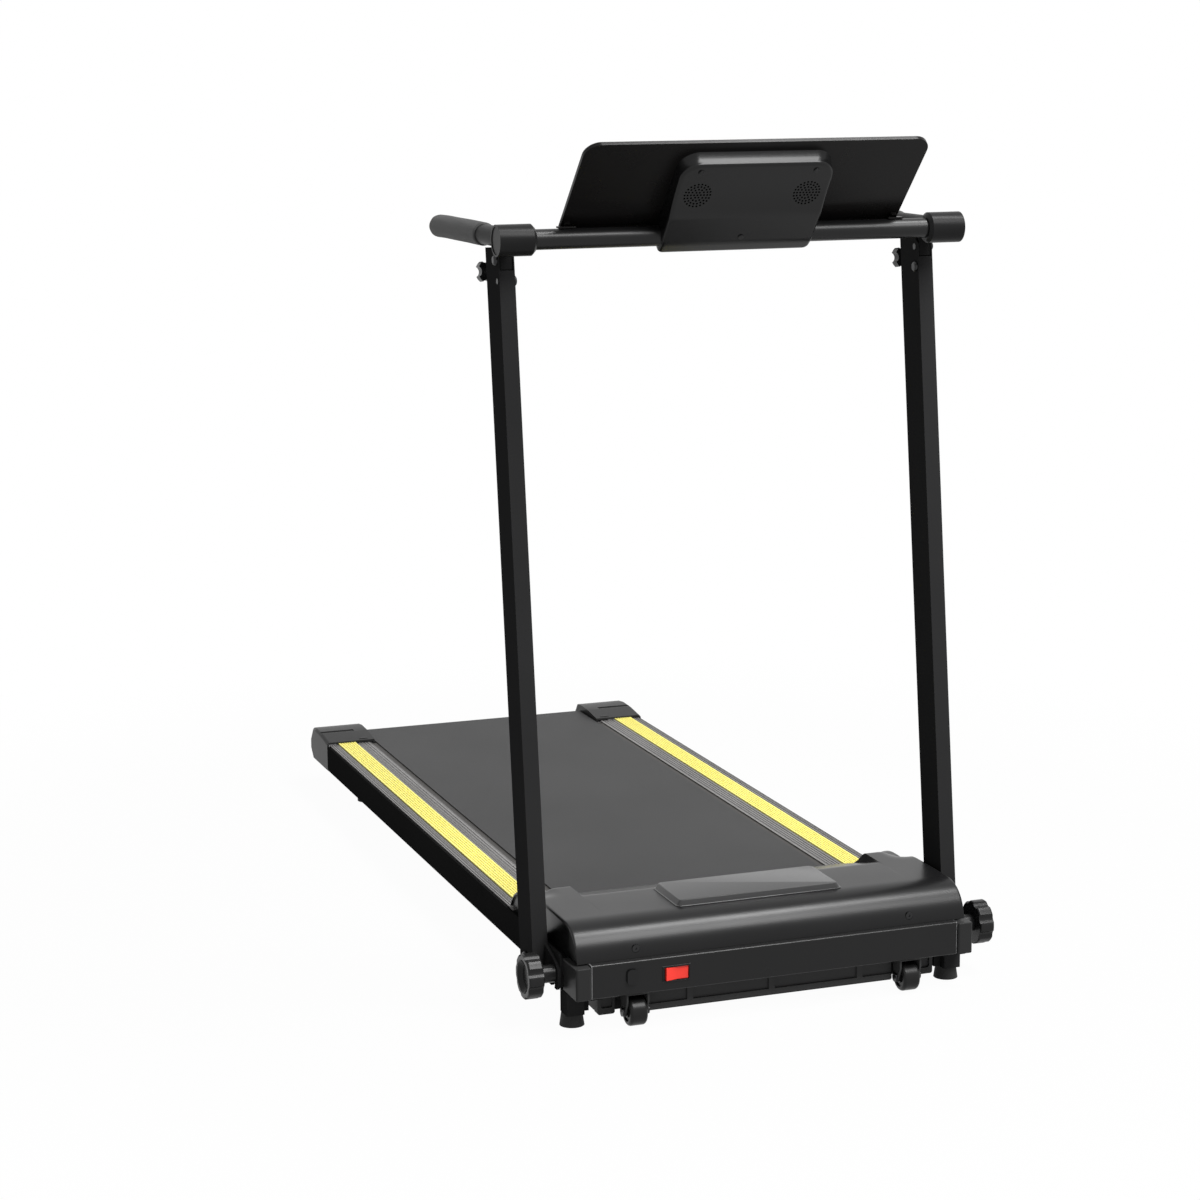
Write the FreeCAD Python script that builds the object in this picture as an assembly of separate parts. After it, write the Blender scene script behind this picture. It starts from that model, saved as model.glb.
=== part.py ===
import FreeCAD, Part
import math
import os

# Folding motor treadmill. Millimetres, +Z up. Left is -X and right is +X, as seen from the front.
# While modelling, Y is measured backwards from the face of the front beam. save() then moves every
# piece so that the origin lies on the floor under the middle of the whole machine.

# ---- whole machine ----
FRONT_Y = -3.0                # front of the beam's end caps
REAR_Y = 1285.0               # back of the rear caps
MIDDLE_Y = (FRONT_Y + REAR_Y) / 2

# ---- frame ----
BEAM_HALF = 245.0
BEAM_DEPTH = 30.0
BEAM_Z0 = 45.0
BEAM_Z1 = 87.5
BEAM_WALL = 2.0
RAIL_X = 265.0                # outer face of the side rails
RAIL_WALL = 2.0
RAIL_INNER_X = 247.0          # how far the rail's flanges reach inwards
RAIL_Z0 = 46.0
RAIL_Z1 = 86.0
RAIL_Y0 = 46.5
RAIL_Y1 = 1179.5
SHELF_Z = 84.5                # top of the rail's upper flange, which carries the foot rail
CROSS_Z0 = 50.0
CROSS_Z1 = 68.0
CROSS_DEPTH = 30.0
CROSS_YS = (330.0, 620.0, 910.0, 1090.0)
PLATE_X = 268.9               # outer face of the pivot plates

# ---- running surface ----
BELT_HALF = 186.0
BELT_THICK = 1.6
ROLLER_R = 19.5
ROLLER_Z = 66.0
FRONT_ROLLER_Y = 222.0
REAR_ROLLER_Y = 1257.0
ROLLER_HALF = 186.5
AXLE_R = 6.0
BEARING_R = 13.0
BEARING_WIDE = 10.0
RUN_FIT = 0.06                # radial play of everything that turns on a pin
DECK_HALF = 187.0
DECK_WIDE_HALF = 194.3         # between the foot rails
DECK_Y0 = 245.0
DECK_Y1 = 1233.0
DECK_Z0 = 71.4
DECK_Z1 = 85.4
FOOT_X0 = 195.0
FOOT_X1 = 261.0
FOOT_Z = 87.0
FOOT_Y0 = 252.0
STRIP_X0 = 219.3
STRIP_X1 = 247.1
STRIP_Z = 89.0
CAP_X0 = 188.0
CAP_X1 = 265.5
CAP_Y0 = 1180.0
CAP_Z0 = 46.0
CAP_WALL = 2.5

# ---- drive ----
MOTOR_Y = 110.0
MOTOR_Z = 75.0
MOTOR_R = 35.0
MOTOR_X0 = -158.0
MOTOR_X1 = -40.0
MOTOR_PULLEY_R = 11.0
ROLLER_PULLEY_R = 22.0
PULLEY_X0 = -205.0
PULLEY_X1 = -193.0
DRIVE_BELT_THICK = 3.0
TRAY_Z0 = 48.0
TRAY_Z1 = 51.0

# ---- motor cover ----
COVER_HALF = 260.0
COVER_Z0 = 87.6
COVER_WALL = 2.5
HOOD_X0 = 205.0               # inner side of the two hoods over the foot rails
COVER_SCREW_XS = (-183.5, 183.5)
COVER_SCREW_Y = 14.2          # floor of the screw recesses in the cover's front
COVER_SCREW_Z = 99.0

# ---- wheels, legs and feet ----
WHEEL_R = 18.0
WHEEL_Y = 16.4
WHEEL_Z = 18.8
WHEEL_X0 = 171.8
WHEEL_X1 = 194.8
WHEEL_AXLE_R = 4.0
LEG_X0 = 243.0
LEG_X1 = 266.0
FOOT_H = 16.4
SHROUD_FRONT_HALF = 164.5     # between the wheels
SHROUD_HALF = 226.5           # behind the wheels
SHROUD_Z0 = 14.0
SHROUD_WALL = 2.5
FOOT_X = 253.9
FOOT_Y = 47.8
REAR_FOOT_X = 212.0
REAR_FOOT_Y = 1150.0

# ---- switch and breaker on the beam ----
SWITCH_X = -135.0
SWITCH_Z = 66.0
SWITCH_HALF = 18.0
SWITCH_HALF_H = 10.0
SWITCH_ROOM = 16.1            # half-width and half-height of the rocker's well
SWITCH_ROOM_H = 8.4
SWITCH_WALL = 0.9
ROCKER_HALF = 15.0
ROCKER_HALF_H = 8.0
ROCKER_AXIS_Y = 5.0
ROCKER_TILT = 7.0
BREAKER_X = -192.7
BREAKER_Z = 68.2
BREAKER_HALF = 7.6
BREAKER_HALF_H = 10.0
BREAKER_BARREL_R = 6.0

# ---- mast ----
TILT = math.radians(6.85)     # the posts lean back by this much
PIVOT = (113.9, 68.0)         # mast pivot, Y and Z
PIVOT_R = 5.0
PIVOT_FIT = 0.08
POST_X0 = 269.3
POST_X1 = 289.4
POST_DEPTH = 49.8
POST_WALL = 1.5
POST_TOP_Z = 933.4
HINGE = (200.4, 920.7)        # handlebar pivot, Y and Z
HINGE_R = 4.0
HINGE_FIT = 0.06
HINGE_BEHIND = 9.06           # from the post's front face back to the handlebar pivot
SLOT_TOP = -12.9              # the post's front wall ends this far below the handlebar pivot
STOP_S = -1.1                 # stop bolt, behind and below the handlebar pivot along the post
STOP_H = -25.4
STOP_R = 3.5
TAIL_R = 33.0
STUB_X0 = 271.9
STUB_X1 = 286.9

# ---- lock knobs at the foot of the mast ----
LOCK = (57.4, 64.5)           # knob axis, Y and Z
LOCK_R = 28.2
LOCK_X0 = 294.0
LOCK_X1 = 313.6
LOCK_HUB_R = 11.0
LOCK_STUD_R = 5.0
LUG_X1 = 273.3
BOSS_R = 10.0
BOSS_X0 = 253.0

# ---- star knobs at the top of the posts ----
STAR_H = -11.0                # along the post from the handlebar pivot
STAR_X = 281.35
STAR_R = 16.0
STAR_HUB_R = 8.0
STAR_HUB_LONG = 7.0
STAR_LONG = 20.0
STAR_STUD_R = 3.0
STAR_STUD_IN = 7.0

# ---- handlebar ----
BAR = (150.9, 947.6)          # crossbar centre, Y and Z
BAR_R = 12.4
SLEEVE_R = 19.2
SLEEVE_X0 = 258.3
SLEEVE_X1 = 305.7
ARM_X = 281.0
ARM_R = 12.5
ARM_WALL = 2.0
ARM_Y1 = 455.0
GRIP_R = 14.65
GRIP_Y0 = 272.0
GRIP_Y1 = 468.0

# ---- console: a flat panel leaning forward, with its own axes ----
PANEL = (162.2, 956.9)        # lower edge of the panel's front face, Y and Z
PANEL_UP = (-0.699, 0.715)    # up the panel
PANEL_OUT = (-0.715, -0.699)  # out of the panel's front face, forward and down
PANEL_HALF = 222.4
PANEL_LONG = 145.5
PANEL_THICK = 5.0
PANEL_CORNER = 20.0
LEDGE_HALF = 204.0
TAB_X0 = 206.0                # tabs at the panel's lower corners, which rest on the crossbar
TAB_X1 = 226.5
HOUSING_HALF = 100.0
HOUSING_WALL = 2.0
SADDLE_R = 14.5
FACET = ((88.0, 19.0), (47.5, 26.5))  # the housing's middle facet, up and out
SPEAKER_X = 71.0
SPEAKER_UP = 79.0
SPEAKER_RINGS = ((0.0, 1), (4.2, 6), (8.4, 12), (12.6, 18), (16.0, 24))
SPEAKER_HOLE_R = 1.1
CONSOLE_SCREWS = ((-74.5, 112.5, 16.7), (74.5, 112.5, 16.7), (2.0, 11.0, 28.9))  # X, up, out


def vec(x, y, z):
    return FreeCAD.Vector(x, y, z)


def box(x0, x1, y0, y1, z0, z1):
    return Part.makeBox(x1 - x0, y1 - y0, z1 - z0, vec(x0, y0, z0))


def rod_x(x0, x1, y, z, r):
    return Part.makeCylinder(r, x1 - x0, vec(x0, y, z), vec(1, 0, 0))


def rod_y(x, y0, y1, z, r):
    return Part.makeCylinder(r, y1 - y0, vec(x, y0, z), vec(0, 1, 0))


def rod_z(x, y, z0, z1, r):
    return Part.makeCylinder(r, z1 - z0, vec(x, y, z0), vec(0, 0, 1))


def slab_x(outline, x0, x1):
    """A closed Y-Z outline, extruded from x0 to x1."""
    points = [vec(x0, y, z) for y, z in outline]
    points.append(points[0])
    return Part.Face(Part.makePolygon(points)).extrude(vec(x1 - x0, 0, 0))


def mirrored(shape):
    return shape.mirror(vec(0, 0, 0), vec(1, 0, 0))


def both(shape):
    """The shape on the right and its mirror image on the left, as separate solids."""
    return Part.Compound([mirrored(shape), shape])


def loop_wire(x, front, front_r, rear, rear_r):
    """The line of a tight belt round two pulleys, in the plane X = x."""
    dy = rear[0] - front[0]
    dz = rear[1] - front[1]
    along = math.atan2(dz, dy)
    spread = math.acos((front_r - rear_r) / math.hypot(dy, dz))

    def on(centre, r, angle):
        return vec(x, centre[0] + r * math.cos(angle), centre[1] + r * math.sin(angle))

    front_top = on(front, front_r, along + spread)
    front_low = on(front, front_r, along - spread)
    rear_top = on(rear, rear_r, along + spread)
    rear_low = on(rear, rear_r, along - spread)
    edges = [
        Part.Arc(front_low, on(front, front_r, along + math.pi), front_top).toShape(),
        Part.LineSegment(front_top, rear_top).toShape(),
        Part.Arc(rear_top, on(rear, rear_r, along), rear_low).toShape(),
        Part.LineSegment(rear_low, front_low).toShape(),
    ]
    return Part.Wire(edges)


def belt_loop(x0, x1, front, front_r, rear, rear_r, thick):
    outer = Part.Face(loop_wire(x0, front, front_r + thick, rear, rear_r + thick))
    inner = Part.Face(loop_wire(x0, front, front_r, rear, rear_r))
    return outer.cut(inner).extrude(vec(x1 - x0, 0, 0))


def on_post(origin, s, h):
    """Y and Z of a point s behind and h above the origin, measured along the leaning post."""
    y = origin[0] + s * math.cos(TILT) + h * math.sin(TILT)
    z = origin[1] - s * math.sin(TILT) + h * math.cos(TILT)
    return y, z


def post_slab(origin, outline, x0, x1):
    return slab_x([on_post(origin, s, h) for s, h in outline], x0, x1)


def on_panel(up, out):
    """Y and Z of a point of the console, up the panel and out of its front face."""
    y = PANEL[0] + up * PANEL_UP[0] + out * PANEL_OUT[0]
    z = PANEL[1] + up * PANEL_UP[1] + out * PANEL_OUT[1]
    return y, z


def panel_slab(outline, x0, x1):
    return slab_x([on_panel(up, out) for up, out in outline], x0, x1)


def panel_block(x0, x1, up0, up1, out0, out1):
    return panel_slab([(up0, out0), (up1, out0), (up1, out1), (up0, out1)], x0, x1)


def edges_along(shape, direction, keep):
    """The straight edges that run along a direction and whose middle passes keep(point)."""
    found = []
    for edge in shape.Edges:
        if len(edge.Vertexes) != 2:
            continue
        line = edge.Vertexes[1].Point - edge.Vertexes[0].Point
        if line.Length < 1e-6 or line.cross(direction).Length > 1e-3 * line.Length:
            continue
        if keep(edge.CenterOfMass):
            found.append(edge)
    return found


def single(shape):
    """The one solid of a boolean result."""
    solids = shape.removeSplitter().Solids
    return solids[0] if len(solids) == 1 else Part.Compound(solids)


def save(name, shape):
    placed = shape.copy()
    placed.translate(vec(0, -MIDDLE_Y, 0))
    bounds = placed.BoundBox
    print("%-20s %2d solids  x %7.1f %7.1f  y %7.1f %7.1f  z %7.1f %7.1f  valid %s" % (
        name, len(placed.Solids), bounds.XMin, bounds.XMax, bounds.YMin, bounds.YMax,
        bounds.ZMin, bounds.ZMax, placed.isValid()))
    placed.exportStep("parts/%s.step" % name)


# ---------------------------------------------------------------- frame

def front_beam():
    beam = box(-BEAM_HALF, BEAM_HALF, 0, BEAM_DEPTH, BEAM_Z0, BEAM_Z1)
    beam = beam.makeFillet(2.0, edges_along(beam, vec(1, 0, 0), lambda p: p.y < 1))
    inside = box(-BEAM_HALF - 1, BEAM_HALF + 1, BEAM_WALL, BEAM_DEPTH - BEAM_WALL,
                 BEAM_Z0 + BEAM_WALL, BEAM_Z1 - BEAM_WALL)
    case = SWITCH_ROOM + SWITCH_WALL
    case_h = SWITCH_ROOM_H + SWITCH_WALL
    switch_hole = box(SWITCH_X - case, SWITCH_X + case, -1, 5, SWITCH_Z - case_h, SWITCH_Z + case_h)
    breaker_hole = rod_y(BREAKER_X, -1, 5, BREAKER_Z, BREAKER_BARREL_R + 0.05)
    return single(beam.cut(inside).cut(switch_hole).cut(breaker_hole))


def beam_end_caps():
    """Moulded caps that close the beam and cover the corner in front of each side rail."""
    cap = box(BEAM_HALF + 0.5, CAP_X1, FRONT_Y, RAIL_Y0 - 0.5, 45.3, 85.8)
    cap = cap.makeFillet(3.0, edges_along(cap, vec(0, 0, 1), lambda p: p.y < 0))
    cap = cap.makeFillet(1.5, edges_along(cap, vec(1, 0, 0), lambda p: p.y < 5))
    hollow = box(BEAM_HALF - 1, CAP_X1 - 2.5, 30.5, RAIL_Y0, 47.5, 83.5)
    spigot = box(BEAM_HALF - 14.0, BEAM_HALF + 0.5, BEAM_WALL, BEAM_DEPTH - BEAM_WALL,
                 BEAM_Z0 + BEAM_WALL, BEAM_Z1 - BEAM_WALL)
    return both(single(cap.cut(hollow).fuse(spigot)))


def side_rail():
    """A channel that opens inwards, with a raised rim outside the foot rail."""
    web = box(RAIL_X - RAIL_WALL, RAIL_X, RAIL_Y0, RAIL_Y1, RAIL_Z0, RAIL_Z1)
    shelf = box(RAIL_INNER_X, RAIL_X - RAIL_WALL, RAIL_Y0, RAIL_Y1, SHELF_Z - RAIL_WALL, SHELF_Z)
    floor = box(RAIL_INNER_X, RAIL_X - RAIL_WALL, RAIL_Y0, RAIL_Y1, RAIL_Z0, RAIL_Z0 + RAIL_WALL)
    rail = web.fuse(shelf).fuse(floor)
    for y, z in (LOCK, PIVOT):
        rail = rail.cut(rod_x(RAIL_INNER_X, RAIL_X + 1, y, z, BOSS_R + 0.05))
    rail = single(rail)
    rim = edges_along(rail, vec(0, 1, 0), lambda p: p.z > RAIL_Z1 - 0.1 and p.x > RAIL_X - 0.1)
    return rail.makeFillet(1.8, rim)


def deck_crossmembers():
    """Square tubes between the rails, the roller brackets and the rear foot plates."""
    end = RAIL_X - RAIL_WALL
    solids = []
    for y in CROSS_YS:
        tube = box(-end, end, y - CROSS_DEPTH / 2, y + CROSS_DEPTH / 2, CROSS_Z0, CROSS_Z1)
        inside = box(-end - 1, end + 1, y - CROSS_DEPTH / 2 + 2, y + CROSS_DEPTH / 2 - 2,
                     CROSS_Z0 + 2, CROSS_Z1 - 2)
        solids.append(tube.cut(inside))
    for side in (-1, 1):
        for y0, y1, roller_y in ((200.0, 244.0, FRONT_ROLLER_Y), (1120.0, 1272.0, REAR_ROLLER_Y)):
            plate = box(end - 6.0, end, y0, y1, 52.5, 80.0)
            plate = plate.cut(rod_x(end - 7, end + 1, roller_y, ROLLER_Z, AXLE_R + 0.05))
            solids.append(mirrored(plate) if side < 0 else plate)
        foot = box(REAR_FOOT_X - 13.0, end, REAR_FOOT_Y - 15.0, REAR_FOOT_Y + 15.0,
                   RAIL_Z0 + RAIL_WALL, RAIL_Z0 + RAIL_WALL + 4.0)
        solids.append(mirrored(foot) if side < 0 else foot)
    return Part.Compound(solids)


def front_legs():
    """Short legs under the corners, each with a plate that carries it under the beam."""
    leg = box(LEG_X0, LEG_X1, BEAM_DEPTH, 57.0, FOOT_H, RAIL_Z0)
    leg = leg.makeFillet(2.0, edges_along(leg, vec(0, 0, 1), lambda p: True))
    plate = box(SHROUD_HALF + 2.0, LEG_X1 - 6.0, 6.0, 56.0, BEAM_Z0 - 3.0, BEAM_Z0)
    block = box(234.0, LEG_X0 + 1.0, 42.0, 52.0, 17.0, 31.0)
    leg = leg.cut(box(LEG_X0 - 1, LEG_X1 + 1, BEAM_DEPTH - 1, RAIL_Y0, 45.2, RAIL_Z0 + 1))
    return both(single(leg.fuse(plate).fuse(block)))


def rubber_feet():
    front = Part.makeCone(15.5, 13.2, FOOT_H, vec(FOOT_X, FOOT_Y, 0))
    rear_h = RAIL_Z0 + RAIL_WALL
    rear = Part.makeCone(13.0, 11.0, rear_h, vec(REAR_FOOT_X, REAR_FOOT_Y, 0))
    rear = rear.fuse(rod_z(REAR_FOOT_X, REAR_FOOT_Y, 0, 12.0, 13.4))
    return Part.Compound([mirrored(front), front, mirrored(single(rear)), single(rear)])


def pivot_plates():
    """Steel plates on the rails, with the bosses of the mast pivot and of the lock knob."""
    outline = [(46.4, 50), (52, 46.4), (142, 46.4), (150, 54), (150, 84), (142, 90), (52, 90), (46.4, 84)]
    plate = slab_x(outline, RAIL_X, PLATE_X)
    for y, z in (LOCK, PIVOT):
        plate = plate.fuse(rod_x(BOSS_X0, RAIL_X + 0.5, y, z, BOSS_R))
    plate = plate.cut(rod_x(BOSS_X0 - 1, PLATE_X + 1, LOCK[0], LOCK[1], LOCK_STUD_R + RUN_FIT))
    plate = plate.cut(rod_x(BOSS_X0 - 1, PLATE_X + 1, PIVOT[0], PIVOT[1], PIVOT_R + 0.05))
    return both(single(plate))


def wheel_brackets():
    """Forks that hold the transport wheels under the beam."""
    low = WHEEL_Z - 6.0
    fork_line = [(5, BEAM_Z0), (28, BEAM_Z0), (28, 35), (WHEEL_Y + 6, WHEEL_Z), (WHEEL_Y + 3, low),
                 (WHEEL_Y - 3, low), (WHEEL_Y - 6, WHEEL_Z), (5, 33)]
    inner = slab_x(fork_line, WHEEL_X0 - 3.6, WHEEL_X0 - 0.8)
    outer = slab_x(fork_line, WHEEL_X1 + 0.8, WHEEL_X1 + 3.6)
    bridge = box(WHEEL_X0 - 3.6, WHEEL_X1 + 3.6, 5.0, BEAM_DEPTH, 42.0, BEAM_Z0)
    fork = inner.fuse(outer).fuse(bridge)
    fork = fork.cut(rod_x(WHEEL_X0 - 5, WHEEL_X1 + 5, WHEEL_Y, WHEEL_Z, WHEEL_AXLE_R + 0.05))
    return both(single(fork))


def pivot_bolts():
    """Mast pivot bolts with domed heads, and the axles of the transport wheels."""
    shank = rod_x(BOSS_X0 - 6, POST_X1 + 0.4, PIVOT[0], PIVOT[1], PIVOT_R)
    head = rod_x(POST_X1 + 0.3, POST_X1 + 4.8, PIVOT[0], PIVOT[1], 8.5)
    head = head.makeFillet(2.5, [e for e in head.Edges if e.CenterOfMass.x > POST_X1 + 4.7])
    nut = rod_x(BOSS_X0 - 6, BOSS_X0, PIVOT[0], PIVOT[1], 8.0)
    bolt = single(shank.fuse(head).fuse(nut))
    axle = rod_x(WHEEL_X0 - 6.0, WHEEL_X1 + 6.0, WHEEL_Y, WHEEL_Z, WHEEL_AXLE_R)
    for x0 in (WHEEL_X0 - 6.0, WHEEL_X1 + 3.6):
        axle = axle.fuse(rod_x(x0, x0 + 2.4, WHEEL_Y, WHEEL_Z, 5.6))
    axle = single(axle)
    return Part.Compound([mirrored(bolt), bolt, mirrored(axle), axle])


def wheel():
    tyre = rod_x(WHEEL_X0, WHEEL_X1, WHEEL_Y, WHEEL_Z, WHEEL_R)
    tyre = tyre.makeFillet(4.2, [e for e in tyre.Edges if len(e.Vertexes) == 1])
    for x0 in (WHEEL_X0 - 1, WHEEL_X1 - 2):
        ring = rod_x(x0, x0 + 3, WHEEL_Y, WHEEL_Z, 12.5)
        tyre = tyre.cut(ring.cut(rod_x(x0 - 1, x0 + 4, WHEEL_Y, WHEEL_Z, 7.5)))
    return single(tyre.cut(rod_x(WHEEL_X0 - 1, WHEEL_X1 + 1, WHEEL_Y, WHEEL_Z,
                                 WHEEL_AXLE_R + RUN_FIT)))


# ---------------------------------------------------------------- running surface

def roller(y):
    body = rod_x(-ROLLER_HALF, ROLLER_HALF, y, ROLLER_Z, ROLLER_R)
    seat = ROLLER_HALF - BEARING_WIDE
    body = body.cut(rod_x(-seat + 6, seat - 6, y, ROLLER_Z, ROLLER_R - 2.5))
    body = body.cut(rod_x(-ROLLER_HALF, ROLLER_HALF, y, ROLLER_Z, AXLE_R + 2.0))
    for x0 in (-ROLLER_HALF - 1, seat):
        body = body.cut(rod_x(x0, x0 + BEARING_WIDE + 1, y, ROLLER_Z, BEARING_R + RUN_FIT))
    return single(body)


def roller_pulley():
    """Grooved drive pulley on the left end of the front roller."""
    y = FRONT_ROLLER_Y
    pulley = rod_x(PULLEY_X0, PULLEY_X1, y, ROLLER_Z, ROLLER_PULLEY_R)
    pulley = pulley.fuse(rod_x(PULLEY_X1, -ROLLER_HALF, y, ROLLER_Z, BEARING_R + 3.0))
    for side in (PULLEY_X0, PULLEY_X1 - 1.0):
        pulley = pulley.fuse(rod_x(side, side + 1.0, y, ROLLER_Z, ROLLER_PULLEY_R + 2.0))
    pulley = pulley.cut(rod_x(PULLEY_X0 - 1, -ROLLER_HALF + 1, y, ROLLER_Z, AXLE_R + 2.0))
    return single(pulley)


def roller_axles():
    end = RAIL_X - RAIL_WALL
    return Part.Compound([rod_x(-end, end, y, ROLLER_Z, AXLE_R)
                          for y in (FRONT_ROLLER_Y, REAR_ROLLER_Y)])


def roller_bearings():
    rings = []
    for y in (FRONT_ROLLER_Y, REAR_ROLLER_Y):
        for x0 in (-ROLLER_HALF + 0.5, ROLLER_HALF - BEARING_WIDE + 0.5):
            ring = rod_x(x0, x0 + BEARING_WIDE - 1, y, ROLLER_Z, BEARING_R)
            rings.append(ring.cut(rod_x(x0 - 1, x0 + BEARING_WIDE, y, ROLLER_Z, AXLE_R + 0.01)))
    return Part.Compound(rings)


def tension_bolts():
    """Socket screws through the rear caps that pull the rear roller back."""
    shank = rod_y(240.0, REAR_ROLLER_Y + 4.0, REAR_Y - 7.0, ROLLER_Z, 3.0)
    block = box(233.0, 247.0, REAR_ROLLER_Y - 9.0, REAR_ROLLER_Y + 9.0, 56.0, 76.0)
    block = block.cut(rod_x(232, 248, REAR_ROLLER_Y, ROLLER_Z, AXLE_R + 0.05))
    head = rod_y(240.0, REAR_Y - 7.0, REAR_Y - 1.5, ROLLER_Z, 5.0)
    head = head.cut(rod_y(240.0, REAR_Y - 5.0, REAR_Y, ROLLER_Z, 2.5))
    shank = shank.cut(rod_x(232, 248, REAR_ROLLER_Y, ROLLER_Z, AXLE_R + 1.0))
    return both(single(shank.fuse(head).fuse(block)))


def walking_belt():
    front = (FRONT_ROLLER_Y, ROLLER_Z)
    rear = (REAR_ROLLER_Y, ROLLER_Z)
    r = ROLLER_R + RUN_FIT
    return belt_loop(-BELT_HALF, BELT_HALF, front, r, rear, r, BELT_THICK)


def deck_board():
    """Board under the belt, wider between the foot rails than at the rollers."""
    board = box(-DECK_HALF, DECK_HALF, DECK_Y0, DECK_Y1, DECK_Z0, DECK_Z1)
    board = board.makeFillet(1.5, edges_along(board, vec(1, 0, 0), lambda p: p.z > DECK_Z1 - 1))
    wings = box(-DECK_WIDE_HALF, DECK_WIDE_HALF, FOOT_Y0 + 2.0, RAIL_Y1 - 4.0, DECK_Z0, DECK_Z1)
    return single(board.fuse(wings).removeSplitter())


def deck_cushions():
    """Rubber pads between the crossmembers and the deck board."""
    pads = []
    for y in CROSS_YS:
        for x in (-165.0, 165.0):
            pads.append(rod_z(x, y, CROSS_Z1, DECK_Z0, 11.0))
    return Part.Compound(pads)


def foot_rail():
    """Ribbed side board that the user stands on beside the belt."""
    rail = box(FOOT_X0, FOOT_X1, FOOT_Y0, RAIL_Y1, SHELF_Z, FOOT_Z)
    lip = box(FOOT_X0, FOOT_X0 + 2.0, FOOT_Y0, RAIL_Y1, SHELF_Z - 9.0, SHELF_Z)
    rail = rail.fuse(lip)
    grooves = [(x, 1.4) for x in (200.0, 204.5, 209.0, 213.5, 250.5, 254.5, 258.0)]
    for x, wide in grooves:
        rail = rail.cut(box(x, x + wide, FOOT_Y0 - 1, RAIL_Y1 + 1, FOOT_Z - 0.8, FOOT_Z + 1))
    rail = rail.cut(box(STRIP_X0, STRIP_X1, FOOT_Y0 - 1, RAIL_Y1 + 1, FOOT_Z - 1.0, FOOT_Z + 1))
    return single(rail)


def grip_strips():
    """Ribbed rubber inserts along the middle of the foot rails."""
    strip = box(STRIP_X0, STRIP_X1, FOOT_Y0, RAIL_Y1, FOOT_Z - 1.0, STRIP_Z)
    count = 6
    pitch = (STRIP_X1 - STRIP_X0) / (count + 1)
    for i in range(count):
        x = STRIP_X0 + pitch * (i + 1)
        strip = strip.cut(box(x - 0.7, x + 0.7, FOOT_Y0 - 1, RAIL_Y1 + 1, STRIP_Z - 1.0, STRIP_Z + 1))
    return both(single(strip))


def rear_cap():
    """Hollow moulding over the end of a side rail and the rear roller's end."""
    outline = [(CAP_Y0, CAP_Z0), (REAR_Y - 14, CAP_Z0), (REAR_Y, 60), (REAR_Y, 80),
               (REAR_Y - 12, 95), (REAR_Y - 30, 97), (1222, 96), (CAP_Y0, 91)]
    cap = slab_x(outline, CAP_X0, CAP_X1)
    outer = [e for e in cap.Edges
             if abs(e.CenterOfMass.x - CAP_X1) < 0.01 and e.CenterOfMass.z > 78]
    cap = cap.makeFillet(5.0, outer)
    inner = [(CAP_Y0 - 1, CAP_Z0 - 1), (REAR_Y - 15, CAP_Z0 - 1), (REAR_Y - 15, CAP_Z0 + 3),
             (REAR_Y - 2.5, 61), (REAR_Y - 2.5, 79), (REAR_Y - 14, 91.5), (REAR_Y - 30, 94),
             (1222, 93), (CAP_Y0 - 1, 88)]
    cap = cap.cut(slab_x(inner, CAP_X0 + CAP_WALL, CAP_X1 - CAP_WALL))
    cap = cap.cut(box(209.0, 263.0, 1225.0, 1234.0, 95.0, 98.0))
    cap = cap.cut(rod_x(CAP_X0 - 1, CAP_X0 + 4, REAR_ROLLER_Y, ROLLER_Z, AXLE_R + 2.0))
    cap = cap.cut(rod_y(240.0, REAR_Y - 8, REAR_Y + 1, ROLLER_Z, 6.0))
    tongue = box(198.0, 211.0, CAP_Y0 + 6, 1212.0, 89.0, 92.5)
    return single(cap.fuse(tongue))


# ---------------------------------------------------------------- drive

def motor_body():
    can = rod_x(MOTOR_X0, MOTOR_X1, MOTOR_Y, MOTOR_Z, MOTOR_R)
    can = can.cut(rod_x(MOTOR_X0 + 5, MOTOR_X1 - 5, MOTOR_Y, MOTOR_Z, MOTOR_R - 5))
    return single(can.cut(rod_x(MOTOR_X0 - 1, MOTOR_X1 + 1, MOTOR_Y, MOTOR_Z, 5.0 + RUN_FIT)))


def motor_rotor():
    """Armature, shaft, flywheel and drive pulley, which turn together."""
    rotor = rod_x(PULLEY_X0 - 1, MOTOR_X1 + 12, MOTOR_Y, MOTOR_Z, 5.0)
    rotor = rotor.fuse(rod_x(MOTOR_X0 + 14, MOTOR_X1 - 14, MOTOR_Y, MOTOR_Z, MOTOR_R - 9))
    rotor = rotor.fuse(rod_x(PULLEY_X0, PULLEY_X1, MOTOR_Y, MOTOR_Z, MOTOR_PULLEY_R))
    rotor = rotor.fuse(rod_x(PULLEY_X1 + 6, PULLEY_X1 + 22, MOTOR_Y, MOTOR_Z, 26.0))
    return single(rotor)


def motor_mount():
    """Tray across the rails, and the two cheeks on it that hold the motor."""
    end = RAIL_X - RAIL_WALL
    tray = box(-end, end, 68.0, 186.0, TRAY_Z0, TRAY_Z1)
    tray = tray.cut(box(MOTOR_X0 - 2, MOTOR_X1 + 2, 77.0, 143.0, TRAY_Z0 - 1, TRAY_Z1 + 1))
    tray = tray.cut(box(PULLEY_X0 - 4, PULLEY_X1 + 26, 80.0, 187.0, TRAY_Z0 - 1, TRAY_Z1 + 1))
    solids = [tray]
    outline = [(70, TRAY_Z1), (150, TRAY_Z1), (150, 100), (136, 115), (84, 115), (70, 100)]
    for x in (MOTOR_X0 + 12, MOTOR_X1 - 16):
        cheek = slab_x(outline, x, x + 4)
        solids.append(cheek.cut(rod_x(x - 1, x + 5, MOTOR_Y, MOTOR_Z, MOTOR_R + 0.05)))
    return Part.Compound(solids)


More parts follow.
